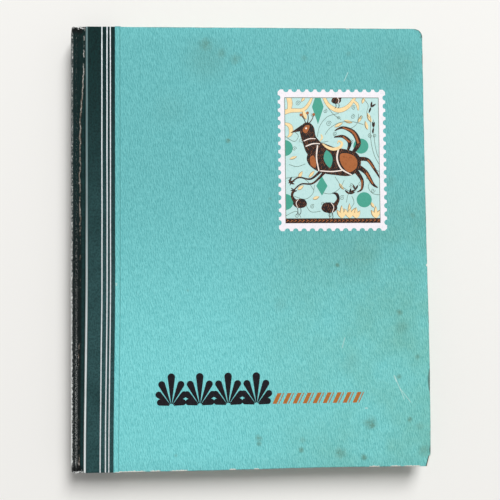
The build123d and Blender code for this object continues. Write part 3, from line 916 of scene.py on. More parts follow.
def makeCloth():
    s = clothShape
    top, bottom = clothHigh[2], albumTop - clothHigh[2]
    spineTop = spineHigh[2]
    floor = top - s["grooveFloor"] + 0.2
    backFloor = albumTop - floor
    thin = clothThickness
    flange = boardLow[2] - thin
    halfHeight = boardHigh[1] + thin
    frontLoop = roundedLoop([
        (lapEnd, top, 0.05),
        (boardEdge + 1.6, top, 0.0),
        (boardEdge - 0.85, top, s["boardRidgeRadius"]),
        (s["grooveEnd"], floor, s["grooveRadius"]),
        (s["grooveStart"] + 0.4, floor + 0.02, 0.0),
        (s["grooveStart"] + 0.4, floor - thin, 0.0),
        (s["grooveEnd"] + 0.3, floor - thin, 0.3),
        (boardEdge, top - thin - 0.5, 0.1),
        (boardEdge, flange, 0.1),
        (lapEnd, flange, 0.05),
    ])
    spineLoop = roundedLoop([
        (s["grooveStart"] + s["overlap"] + 0.5, floor - 0.02, 0.0),
        (s["grooveStart"], floor - 0.02, s["grooveRadius"]),
        (s["shoulderEnd"], spineTop, s["shoulderRadius"]),
        (0.0, spineTop, s["spineRadius"]),
        (0.0, bottom, s["spineRadius"]),
        (s["shoulderEnd"], bottom, s["shoulderRadius"]),
        (s["grooveStart"], backFloor, s["grooveRadius"]),
        (s["grooveEnd"], backFloor, s["grooveRadius"]),
        (boardEdge - 0.65, bottom, s["boardRidgeRadius"]),
        (lapEnd, bottom, 0.05),
        (lapEnd, albumTop - flange, 0.05),
        (boardEdge, albumTop - flange, 0.1),
        (boardEdge, bottom + thin + 0.5, 0.1),
        (s["grooveEnd"] + 0.3, backFloor + thin, 0.3),
        (s["grooveStart"] - 0.3, backFloor + thin, 0.3),
        (s["shoulderEnd"] - 0.2, bottom + 1.2, 0.3),
        (s["spineThickness"], bottom + 1.4, 0.3),
        (s["spineThickness"], spineTop - 1.4, 0.3),
        (s["shoulderEnd"] - 0.2, spineTop - 1.2, 0.3),
        (s["grooveStart"] - 0.3, floor - thin, 0.3),
        (s["grooveStart"] + s["overlap"] + 0.5, floor - thin, 0.0),
    ], steps=4)

    def shape(vertex):
        x, y, z = vertex.co
        wave = noise.noise(Vector((x * 0.25, y * 0.035, z * 0.2)))
        fine = noise.noise(Vector((x * 0.6, y * 0.3, z * 0.6)))
        atJoint = 1 - smoothStep(boardEdge - 0.6, boardEdge + 0.6, x)
        vertex.co.x += s["unevenness"] * 1.6 * wave * atJoint
        vertex.co.z += s["unevenness"] * (wave + 0.5 * fine) * atJoint
        # the caps at head and tail are pressed in
        crush = s["capCrush"] * smoothStep(halfHeight - s["crushReach"], halfHeight, abs(y))
        crush *= 1 - smoothStep(2.0, 5.0, x)
        vertex.co.x += crush * (1 - smoothStep(0.0, 2.5, x))
        vertex.co.z += math.copysign(crush * 0.8, albumTop / 2 - z)
        cap = s["capRise"] * smoothStep(halfHeight - s["capReach"], halfHeight, abs(y))
        cap *= smoothStep(0.4, 1.8, x) * (1 - smoothStep(4.0, 5.5, x))
        vertex.co.y += math.copysign(cap * (0.8 + 0.6 * fine), y)

    swept = sweepSection(frontLoop, halfHeight, shape)
    front = finishMesh("frontCloth", swept, [clothGreen], None, leaning=True)
    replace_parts(front, "front_cloth")
    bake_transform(front)
    swept = sweepSection(spineLoop, halfHeight, shape)
    spine = finishMesh("spineCloth", swept, [clothGreen], "back_cover", leaning=True)
    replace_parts(spine, "spine_cloth")


makeCloth()
print("cloth")


# Three stamped lines on the cloth
stripes = {
    "places": (14.75, 17.35, 19.05),
    "widths": (0.60, 0.62, 0.55),
    "sink": 0.02,
    "lift": 0.03,
    "slope": 0.06,
    "wander": 0.07,
    "raggedness": 0.05,
    "step": 1.5,
}


def makeStripes():
    s = stripes
    halfHeight = boardHigh[1] + clothThickness * 0.4
    z0, z1 = clothHigh[2] - s["sink"], clothHigh[2] + s["lift"]
    count = round(2 * halfHeight / s["step"])
    for number, (centre, width) in enumerate(zip(s["places"], s["widths"]), 1):
        bm = bmesh.new()
        rings = []
        for index in range(count + 1):
            y = -halfHeight + 2 * halfHeight * index / count
            middle = centre + s["wander"] * noise.noise(Vector((number * 7.0, y * 0.03, 0)))
            half = width / 2 + s["raggedness"] * noise.noise(Vector((number * 3.0, y * 0.6, 5.0)))
            left, right = middle - half, middle + half
            section = ((left, z0), (left + s["slope"], z1), (right - s["slope"], z1), (right, z0))
            rings.append([bm.verts.new((x, y, z)) for x, z in section])
        joinRings(bm, rings)
        bm.faces.new(rings[0][::-1])
        bm.faces.new(rings[-1])
        finishMesh(f"silverLine{number}", bm, [inkMaterials["stripeSilver"]], "front_cover", False,
                   leaning=True)


makeStripes()
print("stamped lines")


# Flat printing. A shape is a list of (x, y) points, and a ribbon is a curve with a width at each point.
printLift = 0.03
groupRise = 0.012
layerRise = 0.018


def throughPoints(points, steps=6):
    # a smooth curve through the points
    curve = []
    for index in range(len(points) - 1):
        p0 = points[max(index - 1, 0)]
        p1, p2 = points[index], points[index + 1]
        p3 = points[min(index + 2, len(points) - 1)]
        for step in range(steps):
            t = step / steps
            curve.append(tuple(
                0.5 * (2 * b + (c - a) * t + (2 * a - 5 * b + 4 * c - d) * t * t
                       + (3 * b - a - 3 * c + d) * t ** 3)
                for a, b, c, d in zip(p0, p1, p2, p3)
            ))
    curve.append(tuple(points[-1]))
    return curve


def closedShape(points, steps=6):
    count = len(points)
    looped = [points[i % count] for i in range(-1, count + 2)]
    curve = throughPoints(looped, steps)
    return curve[steps:steps * (count + 1)]


def ribbon(points, steps=6):
    # points are (x, y, width)
    curve = throughPoints(points, steps)
    left, right = [], []
    for index, (x, y, width) in enumerate(curve):
        a = curve[max(index - 1, 0)]
        b = curve[min(index + 1, len(curve) - 1)]
        run = Vector((b[0] - a[0], b[1] - a[1])).normalized()
        left.append((x - run.y * width / 2, y + run.x * width / 2))
        right.append((x + run.y * width / 2, y - run.x * width / 2))
    return [(left[i], right[i], right[i + 1], left[i + 1]) for i in range(len(curve) - 1)]


def circle(x, y, radius, steps=40):
    turns = [math.radians(360.0 * i / steps) for i in range(steps)]
    return [(x + radius * math.cos(a), y + radius * math.sin(a)) for a in turns]


def spiral(x, y, radius, turns, start, width, spin=1):
    points = []
    count = int(14 * turns)
    for index in range(count + 1):
        share = index / count
        angle = math.radians(start) + spin * share * turns * 2 * math.pi
        reach = radius * (1 - 0.86 * share)
        points.append((x + reach * math.cos(angle), y + reach * math.sin(angle), width))
    return points


def withoutRepeats(shape):
    return [p for i, p in enumerate(shape) if math.dist(p, shape[i - 1]) > 1e-4]


def leafShape(x, y, length, width, angle, bend=0.0):
    # a pointed leaf from its stalk end
    outline = []
    for side in (1, -1):
        for step in range(9):
            t = step / 8 if side == 1 else 1 - step / 8
            half = side * width / 2 * math.sin(math.pi * t) ** 0.8 * (1 - 0.25 * t)
            outline.append((t * length, half + bend * math.sin(math.pi * t)))
    return withoutRepeats([spun(a, b, math.radians(angle), x, y) for a, b in outline])


def printPiece(name, shapes, ink, lift, centre):
    # flat shapes just above the paper, with each group a hair above the one before
    bm = bmesh.new()
    for number, group in enumerate(shapes):
        height = paperTop + lift + groupRise * number / len(shapes)
        for shape in group:
            face = bm.faces.new([bm.verts.new((centre[0] + x, centre[1] + y, height)) for x, y in shape])
            if face.calc_area() < 1e-6:
                bm.faces.remove(face)
    bmesh.ops.recalc_face_normals(bm, faces=bm.faces)
    for face in bm.faces:
        if face.normal.z < 0:
            face.normal_flip()
    bmesh.ops.triangulate(bm, faces=[f for f in bm.faces if len(f.verts) > 4])
    return finishMesh(name, bm, [inkMaterials[ink]], "front_cover", smooth=False, flat=True)


# The printed picture, in the form of a perforated stamp. Its places count from the picture's centre.
stampPrint = {
    "centre": (132.5, 43.9),
    "size": (55.8, 73.2),
    "teeth": (13, 17),
    "biteRadius": 1.42,
    "cornerSlant": 1.2,
    "picture": (49.0, 65.0),
    "border": 0.32,
    "inks": ("White", "Mint", "Edge", "Cream", "Jade", "Line", "Brown", "Rust", "Trim", "Gem", "Sash"),
    "discs": [
        # x, y, radius
        (14.9, 7.2, 3.9), (16.2, -20.6, 3.9), (-24.5, 6.2, 4.1), (-24.5, -21.6, 4.1),
    ],
    "diamonds": [
        # x, y, half width, half height
        (-7.2, 27.6, 3.0, 9.0), (-5.6, -13.4, 2.9, 5.0),
    ],
    "edgeWidth": 0.34,
    "lineWidth": 0.26,
    "scrolls": [
        # each is a curve of x, y, width
        [(-26.5, 24.0, 2.6), (-21.5, 25.6, 2.0), (-15.0, 26.0, 1.6), (-11.6, 29.5, 1.3), (-9.9, 33.5, 0.8)],
        [(-22.6, 33.6, 2.2), (-21.6, 29.4, 2.4), (-22.2, 25.4, 1.4)],
        [(-4.4, 33.5, 1.2), (-1.6, 28.4, 1.8), (3.6, 25.8, 2.2), (8.8, 28.0, 1.8), (12.8, 33.5, 0.9)],
        [(10.4, 31.4, 0.5), (13.2, 29.0, 1.3), (13.8, 25.8, 0.4)],
        [(-24.5, 19.0, 0.8), (-21.6, 17.4, 2.0), (-21.4, 13.6, 1.6), (-23.0, 11.8, 0.4)],
    ],
    "leaves": [
        # x, y, length, breadth, angle
        (1.4, 17.2, 4.6, 1.4, 28), (6.4, 20.6, 4.2, 1.3, -14), (13.8, 19.6, 3.6, 1.2, 62),
        (-22.0, 0.6, 3.8, 1.2, 20), (3.4, -12.0, 3.6, 1.2, -52), (21.4, -24.6, 3.2, 1.3, 120),
        (-13.2, 21.0, 5.6, 1.9, 108), (20.6, 19.6, 5.2, 1.7, 112), (18.6, 15.8, 4.4, 1.4, 104),
        (-17.6, -9.4, 4.0, 1.5, 60), (-18.0, -15.2, 3.4, 1.6, 35), (-12.2, -9.0, 4.4, 1.3, 50),
        (-10.2, -20.0, 3.2, 1.5, 20), (16.0, 29.4, 3.6, 1.3, 70), (-15.6, 30.4, 3.0, 1.1, 52),
    ],
    "tufts": [
        # x, height
        (4.6, 6.4), (8.6, 7.4), (12.0, 5.4), (22.2, 6.0),
    ],
    "tuftLeans": (-28, 0, 30),
    "curls": [
        # x, y, size, turns, starting angle, and which way it winds
        (-1.6, 18.8, 1.5, 1.6, 20, 1), (10.8, 22.6, 1.3, 1.5, 90, -1), (15.2, 22.4, 1.1, 1.5, 180, 1),
        (1.6, 13.6, 1.2, 1.5, 300, -1), (18.4, -9.2, 1.2, 1.4, 0, 1), (-5.2, -22.4, 1.1, 1.4, 0, -1),
        (4.8, -19.6, 1.3, 1.5, 45, 1), (20.8, -15.8, 1.2, 1.4, 10, -1), (-17.4, 29.4, 1.4, 1.6, 0, 1),
        (-3.4, 25.4, 1.1, 1.5, 80, -1), (9.8, 9.2, 1.3, 1.7, 30, 1), (-15.4, 9.8, 1.7, 1.6, 200, -1),
        (-19.6, 5.8, 1.2, 1.4, 0, 1), (19.8, 12.6, 1.2, 1.6, 90, 1), (14.6, -12.2, 1.5, 1.5, 10, -1),
        (-10.6, -24.0, 1.2, 1.6, 40, 1), (-1.4, -28.2, 1.3, 1.5, 120, 1), (22.2, 12.6, 1.0, 1.4, 270, -1),
        (3.4, 21.8, 0.9, 1.4, 0, 1), (11.4, 27.2, 1.2, 1.5, 60, 1), (-9.8, 23.4, 1.0, 1.5, 130, 1),
        (9.6, -13.0, 1.2, 1.5, 200, 1), (-18.8, -28.6, 1.2, 1.4, 60, -1),
    ],
    "tendrils": [
        [(-12.0, 18.6), (-11.0, 13.0), (-6.6, 9.4), (-2.0, 9.8)],
        [(20.2, 23.0), (20.0, 12.0), (21.6, 3.0), (24.5, -2.6)],
        [(21.6, 21.0), (21.8, 12.0), (23.0, 4.0), (24.5, 0.6)],
        [(14.4, 0.6), (18.6, 0.0), (20.4, -3.6), (24.5, -6.2)],
        [(-2.0, 27.4), (1.0, 23.6), (4.8, 21.0)],
        [(16.4, 32.0), (19.0, 28.6), (18.2, 24.6), (19.6, 22.0)],
        [(-24.5, -9.4), (-17.4, -8.8), (-13.0, -11.0), (-9.8, -15.6)],
        [(-20.0, -18.6), (-14.4, -20.2), (-10.4, -17.4), (-9.4, -12.8)],
        [(-24.5, -28.8), (-19.0, -26.4), (-16.6, -29.6)],
        [(-14.4, -22.0), (-11.6, -26.6), (-6.4, -26.4)],
        [(1.2, -8.6), (4.6, -13.6), (8.4, -16.0)],
        [(7.0, -22.0), (8.2, -17.4), (12.2, -15.6)],
        [(-22.4, -2.2), (-18.4, -3.4), (-14.0, -2.0)],
        [(-3.6, 13.2), (-1.0, 16.6), (4.0, 19.4), (10.0, 20.0), (16.4, 18.4)],
        [(-7.6, 12.0), (-6.4, 17.4), (-2.4, 22.4), (3.6, 24.2)],
        [(9.0, 16.0), (12.8, 18.6), (14.0, 24.0)],
        [(-24.5, 12.4), (-19.6, 9.6), (-17.4, 12.4), (-19.0, 14.4)],
        [(6.0, -10.4), (3.6, -14.6), (-0.8, -17.4), (-5.0, -17.0)],
        [(20.2, -10.0), (18.4, -14.0), (20.8, -17.4), (24.5, -18.0)],
        [(7.4, -27.0), (10.8, -22.4), (9.8, -18.6)],
    ],
    "crest": [
        # x, y of each feather's foot and tip
        (-13.6, 19.0, -16.0, 23.4), (-12.6, 19.4, -12.6, 24.4), (-11.6, 19.2, -9.4, 23.6),
    ],
    "plumes": [
        [(10.6, 3.6, 1.6), (13.6, 8.6, 2.6), (11.2, 14.2, 2.4), (5.6, 16.8, 1.4), (1.4, 15.2, 0.5)],
        [(8.2, 5.2, 1.2), (9.0, 9.2, 2.0), (5.6, 12.2, 1.6), (1.0, 11.8, 0.5)],
        [(13.2, -3.4, 2.6), (17.4, -6.6, 2.2), (20.8, -12.4, 1.5), (23.4, -14.4, 0.4)],
        [(12.0, -5.4, 2.4), (15.2, -10.4, 1.7), (15.0, -15.0, 1.1), (12.6, -16.6, 0.4)],
        [(13.8, 0.6, 2.2), (18.4, 0.0, 1.8), (21.6, -4.4, 1.4), (24.5, -9.4, 0.6)],
    ],
    "bodyAndNeck": [
        [(-12.6, 3.4), (-10.4, 8.0), (-5.2, 8.8), (1.0, 6.6), (7.4, 5.4), (12.6, 3.6), (14.8, -0.6),
         (13.4, -5.4), (8.6, -8.2), (1.6, -7.8), (-5.6, -6.6), (-11.0, -3.6), (-13.2, 0.0)],
        [(-12.8, 3.0), (-15.4, 9.6), (-16.6, 15.0), (-15.0, 18.6), (-12.0, 19.4), (-9.4, 17.0),
         (-8.4, 12.2), (-5.6, 8.0), (-8.4, 3.6)],
    ],
    "beak": [(-15.8, 15.0), (-21.6, 14.0), (-15.6, 18.2)],
    "eye": (-13.4, 16.4, 0.5),
    "gem": (-3.0, 5.2, 9.6, 5.2, -80),
    "rustPatches": [
        [(4.4, 3.2), (9.4, 3.0), (12.6, 0.2), (12.4, -4.0), (8.6, -6.4), (5.6, -3.8), (4.0, -0.4)],
        [(-11.6, 1.2), (-9.6, 2.2), (-8.4, -1.6), (-9.0, -4.0), (-11.2, -2.4)],
        [(-15.2, 15.2), (-13.8, 17.8), (-11.6, 17.8), (-12.2, 15.4), (-13.6, 13.8)],
    ],
    "bands": [
        [(3.2, 5.6, 0.8), (2.4, 0.6, 0.8), (4.6, -4.6, 0.8), (10.0, -7.8, 0.5)],
        [(-7.6, 7.6, 0.7), (-8.2, 1.0, 0.7), (-7.0, -5.8, 0.6)],
        [(-13.8, 7.0, 0.6), (-10.0, 8.4, 0.6), (-6.4, 8.4, 0.5)],
        [(-14.8, 9.8, 0.5), (-11.6, 11.0, 0.5), (-8.6, 11.0, 0.4)],
        [(-6.4, -5.6, 0.6), (-0.4, -6.0, 0.6), (5.0, -5.4, 0.6)],
    ],
    "sashes": [
        [(-5.0, 8.4, 0.6), (-2.6, 6.6, 1.3), (0.6, 5.6, 1.6), (4.0, 6.6, 1.5), (5.0, 8.8, 1.2),
         (3.4, 9.8, 0.8), (2.8, 8.6, 0.4)],
        [(-6.4, 9.6, 0.3), (-5.2, 11.6, 0.9), (-5.8, 13.4, 0.3)],
    ],
    "legs": [
        [(-6.4, -6.0, 1.5), (-11.4, -9.8, 0.9), (-17.4, -9.0, 0.7), (-21.2, -11.4, 0.7)],
        [(-4.4, -6.6, 1.5), (-10.2, -12.0, 0.9), (-16.2, -12.4, 0.7), (-20.0, -15.4, 0.7)],
    ],
    "toeAngles": (150, 195, 240),
    "smallBirds": [
        # x, y, size, and which way it faces
        (-1.2, -24.4, 1.15, 1), (-17.6, -22.2, 1.0, -1), (2.8, 31.0, 0.7, 1),
    ],
    "smallBody": [(-4.2, -0.4), (-2.6, 2.0), (1.4, 1.8), (3.0, -0.4), (0.8, -2.4), (-2.6, -2.2)],
    "smallBand": [(0.2, 2.0, 0.35), (1.4, 0.0, 0.35), (0.6, -2.4, 0.35)],
    "sprigs": [
        # x, y, and the angle of each leaf
        (20.4, 27.4, (35, 80, 250)), (8.6, -17.6, (20, 75, 140)), (11.6, -15.6, (60, 110, 200)),
        (-22.6, -11.4, (-20, 10, 60)), (21.6, 16.8, (80, 260, 100)),
    ],
    "braidHeight": 2.4,
    "braidLoops": 24,
}


def perforatedOutline(width, height, teethAcross, teethUp, radius, slant):
    # straight runs with a half round bite between each pair of teeth
    outline = []
    sides = [
        ((-width / 2, -height / 2), (1, 0), width, teethAcross),
        ((width / 2, -height / 2), (0, 1), height, teethUp),
        ((width / 2, height / 2), (-1, 0), width, teethAcross),
        ((-width / 2, height / 2), (0, -1), height, teethUp),
    ]
    for (x, y), (dx, dy), length, teeth in sides:
        # each corner tooth is worn to a slant
        outline.append((x - dy * slant, y + dx * slant))
        outline.append((x + dx * slant, y + dy * slant))
        pitch = length / teeth
        for number in range(1, teeth):
            middle = pitch * number
            for step in range(9):
                angle = math.pi * (1 - step / 8)
                along = middle + radius * math.cos(angle)
                inward = radius * math.sin(angle)
                outline.append((x + dx * along - dy * inward, y + dy * along + dx * inward))
    return outline


def clippedTo(shape, left, right, low, high):
    # cuts a flat shape at the picture's border
    for axis, limit, keepBelow in ((0, left, False), (0, right, True), (1, low, False), (1, high, True)):
        kept = []
        for index, point in enumerate(shape):
            before = shape[index - 1]
            insideNow = (point[axis] <= limit) == keepBelow or point[axis] == limit
            insideBefore = (before[axis] <= limit) == keepBelow or before[axis] == limit
            if insideNow != insideBefore:
                share = (limit - before[axis]) / (point[axis] - before[axis])
                kept.append(tuple(a + share * (b - a) for a, b in zip(before, point)))
            if insideNow:
                kept.append(point)
        shape = kept
        if len(shape) < 3:
            return []
    clean = withoutRepeats(shape)
    return clean if len(clean) > 2 else []


def onBird(bird, points):
    x, y, size, facing = bird
    return [(x + a * size * facing, y + b * size, *rest) for a, b, *rest in points]


def makeStampPrint():
    s = stampPrint
    width, height = s["picture"]
    left, right, low, high = -width / 2, width / 2, -height / 2, height / 2
    layers = {ink: [] for ink in s["inks"]}

    def put(ink, *shapes):
        cuts = [clippedTo(list(shape), left, right, low, high) for shape in shapes]
        layers[ink].append([cut for cut in cuts if cut])

    def line(points, ink="Line", width=s["lineWidth"]):
        put(ink, *ribbon([(p[0], p[1], p[2] if len(p) > 2 else width) for p in points]))

    def edgedLeaf(x, y, shift, size, edgeSize, angle):
        # a cream leaf over a slightly larger brown one
        put("Edge", leafShape(x - shift[0], y - shift[1], *edgeSize, angle))
        put("Cream", leafShape(x, y, *size, angle))

    put("Mint", oblong(left, right, low, high))
    border = s["border"]
    for strip in ((left, right, high - border, high), (left, right, low, low + border),
                  (left, left + border, low, high), (right - border, right, low, high)):
        put("Line", oblong(*strip))
    put("Jade", *[circle(*disc) for disc in s["discs"][:2]])
    put("Jade", *[circle(*disc) for disc in s["discs"][2:]])
    for x, y, across, up in s["diamonds"]:
        put("Jade", [(x - across, y), (x, y + up), (x + across, y), (x, y - up)])

    for scroll in s["scrolls"]:
        put("Edge", *ribbon([(x, y, w + s["edgeWidth"]) for x, y, w in scroll]))
        put("Cream", *ribbon(scroll))
    for x, y, length, breadth, angle in s["leaves"]:
        edgedLeaf(x, y, (0.2, 0.2), (length, breadth), (length + 0.5, breadth + 0.5), angle)
    ground = low + s["braidHeight"]
    for x, tall in s["tufts"]:
        for lean in s["tuftLeans"]:
            length = tall * (1 - abs(lean) / 120)
            edgedLeaf(x, ground, (0.15, 0.0), (length, 1.7), (length + 0.4, 2.2), 90 + lean)
    for x, y, size, turns, start, spin in s["curls"]:
        line(spiral(x, y, size, turns, start, s["lineWidth"] * 0.8, spin))
    for tendril in s["tendrils"]:
        line(tendril, width=s["lineWidth"] * 0.85)

    # a big bird with a long tail
    for shape in s["bodyAndNeck"]:
        put("Brown", closedShape(shape))
    put("Brown", s["beak"])
    for x, y, tipX, tipY in s["crest"]:
        line([(x, y, 0.5), ((x + tipX) / 2 + 0.4, (y + tipY) / 2, 0.4), (tipX, tipY, 0.4)], "Brown")
        put("Rust", circle(tipX, tipY, 0.75, 14))
    for plume in s["plumes"]:
        put("Brown", *ribbon(plume, 8))
        put("Rust", *ribbon([(x, y, w * 0.4) for x, y, w in plume[1:-1]], 8))
    put("Rust", closedShape(s["rustPatches"][0]))
    put("Brown", *[leafShape(6.0, 1.2 - 2.2 * i, 5.2 - 0.5 * i, 1.2, -18 - 10 * i) for i in range(3)])
    for shape in s["rustPatches"][1:]:
        put("Rust", closedShape(shape))
    for band in s["bands"]:
        put("Trim", *ribbon(band, 8))
    put("Trim", circle(*s["eye"], 12))
    put("Gem", leafShape(*s["gem"]))
    for sash in s["sashes"]:
        put("Sash", *ribbon(sash, 8))
    for leg in s["legs"]:
        put("Brown", *ribbon(leg, 8))
        for angle in s["toeAngles"]:
            put("Brown", leafShape(*leg[-1][:2], 2.0, 0.6, angle))

    for bird in s["smallBirds"]:
        x, y, size = bird[:3]
        put("Brown", closedShape(onBird(bird, s["smallBody"])))
        tail = [(1.6, 0.4, 2.2 * size), (3.4, 3.4, 1.3 * size), (2.8, 5.8, 1.3 * size), (0.8, 6.4, 0.3)]
        put("Brown", *ribbon(onBird(bird, tail)))
        put("Trim", *ribbon(onBird(bird, s["smallBand"])))
        for shift in (-0.8, 0.8):
            foot = x + shift
            leg = [(foot, y - 2.0 * size), (foot + 0.3, y - 4.4 * size), (foot - 0.4, y - 6.0 * size)]
            line(leg, "Brown", 0.3)
    for x, y, angles in s["sprigs"]:
        for angle in angles:
            put("Brown", leafShape(x, y, 3.2, 1.1, angle))

    # the braid along the foot of the picture
    put("Brown", oblong(left, right, low, ground))
    pitch = width / s["braidLoops"]
    for number in range(s["braidLoops"]):
        x = left + pitch * (number + 0.1)
        put("Rust", leafShape(x, low + s["braidHeight"] * 0.22, pitch * 1.05, 0.38, 34))
        put("Rust", leafShape(x + pitch * 0.1, low + s["braidHeight"] * 0.78, pitch * 0.8, 0.3, -30))

    layers["White"].append([perforatedOutline(*s["size"], *s["teeth"], s["biteRadius"], s["cornerSlant"])])
    for step, (ink, shapes) in enumerate(layers.items()):
        lift = printLift + layerRise * step
        printPiece("picture" + ink, shapes, "print" + ink, lift, s["centre"])


makeStampPrint()
print("printed picture")


# Where the title would be: four shells of black blades, and a row of slanted copper lozenges
titleOrnament = {
    "left": 42.6,
    "foot": -80.6,
    "shells": 4,
    "shellWidth": 13.6,
    "shellGap": 0.7,
    "bladeLengths": (7.6, 10.2, 13.6, 16.4, 13.6, 10.2, 7.6),
    "bladeWidths": (3.2, 3.3, 3.5, 3.8, 3.5, 3.3, 3.2),
    "bladeFoot": (1.2, 0.22),
    "spread": 24.0,
    "copperStart": 100.4,
    "copperFoot": -80.2,
    "copperHeight": 5.3,
    "copperLozenges": 9,
    "copperPitch": 5.1,
    "copperSlant": 2.6,
    "copperStrokes": ((0.0, 2.1), (2.9, 3.4)),
}


def wedgeBlade(x, y, length, width, angle):
    # narrow at its foot, widening to a round end
    start, half = titleOrnament["bladeFoot"]
    straight, radius = length - width / 2, width / 2
    outline = [(start, -half), (straight, -radius)]
    for step in range(1, 8):
        turn = math.pi * (step / 8 - 0.5)
        outline.append((straight + radius * math.cos(turn), radius * math.sin(turn)))
    outline += [(straight, radius), (start, half)]
    return [spun(a, b, math.radians(angle), x, y) for a, b in outline]


def makeTitleOrnament():
    t = titleOrnament
    blades = []
    for shell in range(t["shells"]):
        centre = t["left"] + t["shellWidth"] / 2 + shell * (t["shellWidth"] + t["shellGap"])
        for number, (length, width) in enumerate(zip(t["bladeLengths"], t["bladeWidths"])):
            lean = (number - (len(t["bladeLengths"]) - 1) / 2) * t["spread"]
            blades.append([wedgeBlade(centre, t["foot"], length, width, 90 - lean)])
    printPiece("titleShells", blades, "titleBlack", printLift, (0, 0))
    lozenges = []
    foot, head, lean = t["copperFoot"], t["copperFoot"] + t["copperHeight"], t["copperSlant"]
    for number in range(t["copperLozenges"]):
        x = t["copperStart"] + number * t["copperPitch"]
        for start, end in t["copperStrokes"]:
            left, right = x + start, x + end
            lozenges.append([(left, foot), (right, foot), (right + lean, head), (left + lean, head)])
    printPiece("titleLozenges", [lozenges], "titleCopper", printLift, (0, 0))


makeTitleOrnament()
print("title ornament")


# Sheets that turn: each bends in its own fold beside the guard block
turningSheets = {
    "foldBefore": 0.9,
    "foldAfter": 1.4,
    "foldCuts": 8,
    "stripWidth": 12.0,
    "hingeInset": 0.05,
    "startBefore": 0.2,
    "glassineWaves": 0.04,
    "flyleafWaves": 0.05,
}


def makeTurningSheet(name, body, nodes, material, start, box, waves=0.0):
    # from the x where it starts to the far end of its box
    s = turningSheets
    (_, _, z0), (x1, halfHeight, z1) = box
    pivotX = hingePlace(body)
    bendStart, bendEnd = pivotX - s["foldBefore"], pivotX + s["foldAfter"]
    cuts = [bendStart + (bendEnd - bendStart) * i / s["foldCuts"] for i in range(s["foldCuts"] + 1)]
    cuts = [c for c in cuts if start < c < x1] + everyStep(bendEnd, x1, s["stripWidth"])
    across = everyStep(-halfHeight, halfHeight, s["stripWidth"] * 2)
    bm = plate(oblong(start, x1, -halfHeight, halfHeight), z0, z1, 0.0, cuts, across)
    for vertex in bm.verts:
        x, y = vertex.co.xy
        wave = noise.noise(Vector((x * 0.03, y * 0.02, z0)))
        vertex.co.z += waves * wave * smoothStep(bendEnd, bendEnd + 10, x)
    piece = finishMesh(name, bm, [material], None, smooth=False)
    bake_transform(piece)
    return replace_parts(piece, *nodes)


def makeLeafHinges():
    start = guardLow[0] + turningSheets["hingeInset"]
    for number in range(1, leafCount + 1):
        node = f"leaf_{number}_hinge"
        nodes = [node, "hinge_tabs"]
        makeTurningSheet(f"leafHinge{number}", f"leaf_{number}", nodes, hingeCloth, start,
                         nodeBox(node))


def makeThinSheet(name, node, material, waves):
    start = hingePlace(node) - turningSheets["startBefore"]
    makeTurningSheet(name, node, [node], material, start, nodeBox(node), waves)


def makeThinSheets():
    for number in range(1, leafCount):
        makeThinSheet(f"glassineSheet{number}", f"interleaf_{number}", glassine,
                      turningSheets["glassineWaves"])
    makeThinSheet("frontFlyleaf", "front_flyleaf", endpaper, turningSheets["flyleafWaves"])
    makeThinSheet("backFlyleaf", "back_flyleaf", endpaper, turningSheets["flyleafWaves"])


makeLeafHinges()
makeThinSheets()
print("leaf hinges, glassine and flyleaves")


# Pockets: each strip of film has a folded lip at its mouth and a frosted weld round its foot and sides
pocketStrip = {
    "rows": 7,
    "height": 25.0,
    "filmShare": 0.7,
    "lip": 1.1,
    "lipExtra": 0.05,
    "weld": 1.6,
    "sideWeld": 1.0,
    "weldExtra": 0.03,
}


def makePockets(node, body):
    p = pocketStrip
    low, high = nodeBox(node)
    card = nodeBox(f"{body}_card")
    outward = 1 if low[2] > card[0][2] + 0.1 else -1
    base = low[2] if outward > 0 else high[2]
    thickness = (high[2] - low[2]) * p["filmShare"]
    pitch = (high[1] - low[1] - p["height"]) / (p["rows"] - 1)
    left, right = low[0] + p["sideWeld"], high[0] - p["sideWeld"]
    bm = bmesh.new()
    for row in range(p["rows"]):
        foot = low[1] + row * pitch
        head = foot + p["height"]
        weldTop, lipFoot = foot + p["weld"], head - p["lip"]
        for x0, x1, y0, y1, extra, materialIndex in (
            (low[0], high[0], foot, weldTop, p["weldExtra"], 1),
            (low[0], left, weldTop, head, p["weldExtra"], 1),
            (right, high[0], weldTop, head, p["weldExtra"], 1),
            (left, right, weldTop, lipFoot, 0.0, 0),
            (left, right, lipFoot, head, p["lipExtra"], 1),
        ):
            reach = base + outward * (thickness + extra)
            slab(bm, x0, x1, y0, y1, min(base, reach), max(base, reach), materialIndex)
    piece = finishMesh(node.replace("_", "."), bm, [pocketFilm, filmWeld], body, smooth=False)
    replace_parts(piece, node)


for number in range(1, leafCount + 1):
    for side in ("front", "back"):
        makePockets(f"leaf_{number}_{side}_pockets", f"leaf_{number}")
print("pockets")


# Pastedowns: a soft plate, raised a little over the turned-in edges beneath
pastedown = {
    "edgeRadius": 0.12,
    "cornerRadii": (0.3, 1.0),
    "turnIn": 15.0,
    "sink": 0.12,
    "fade": 1.2,
    "stripWidth": 10.0,
}


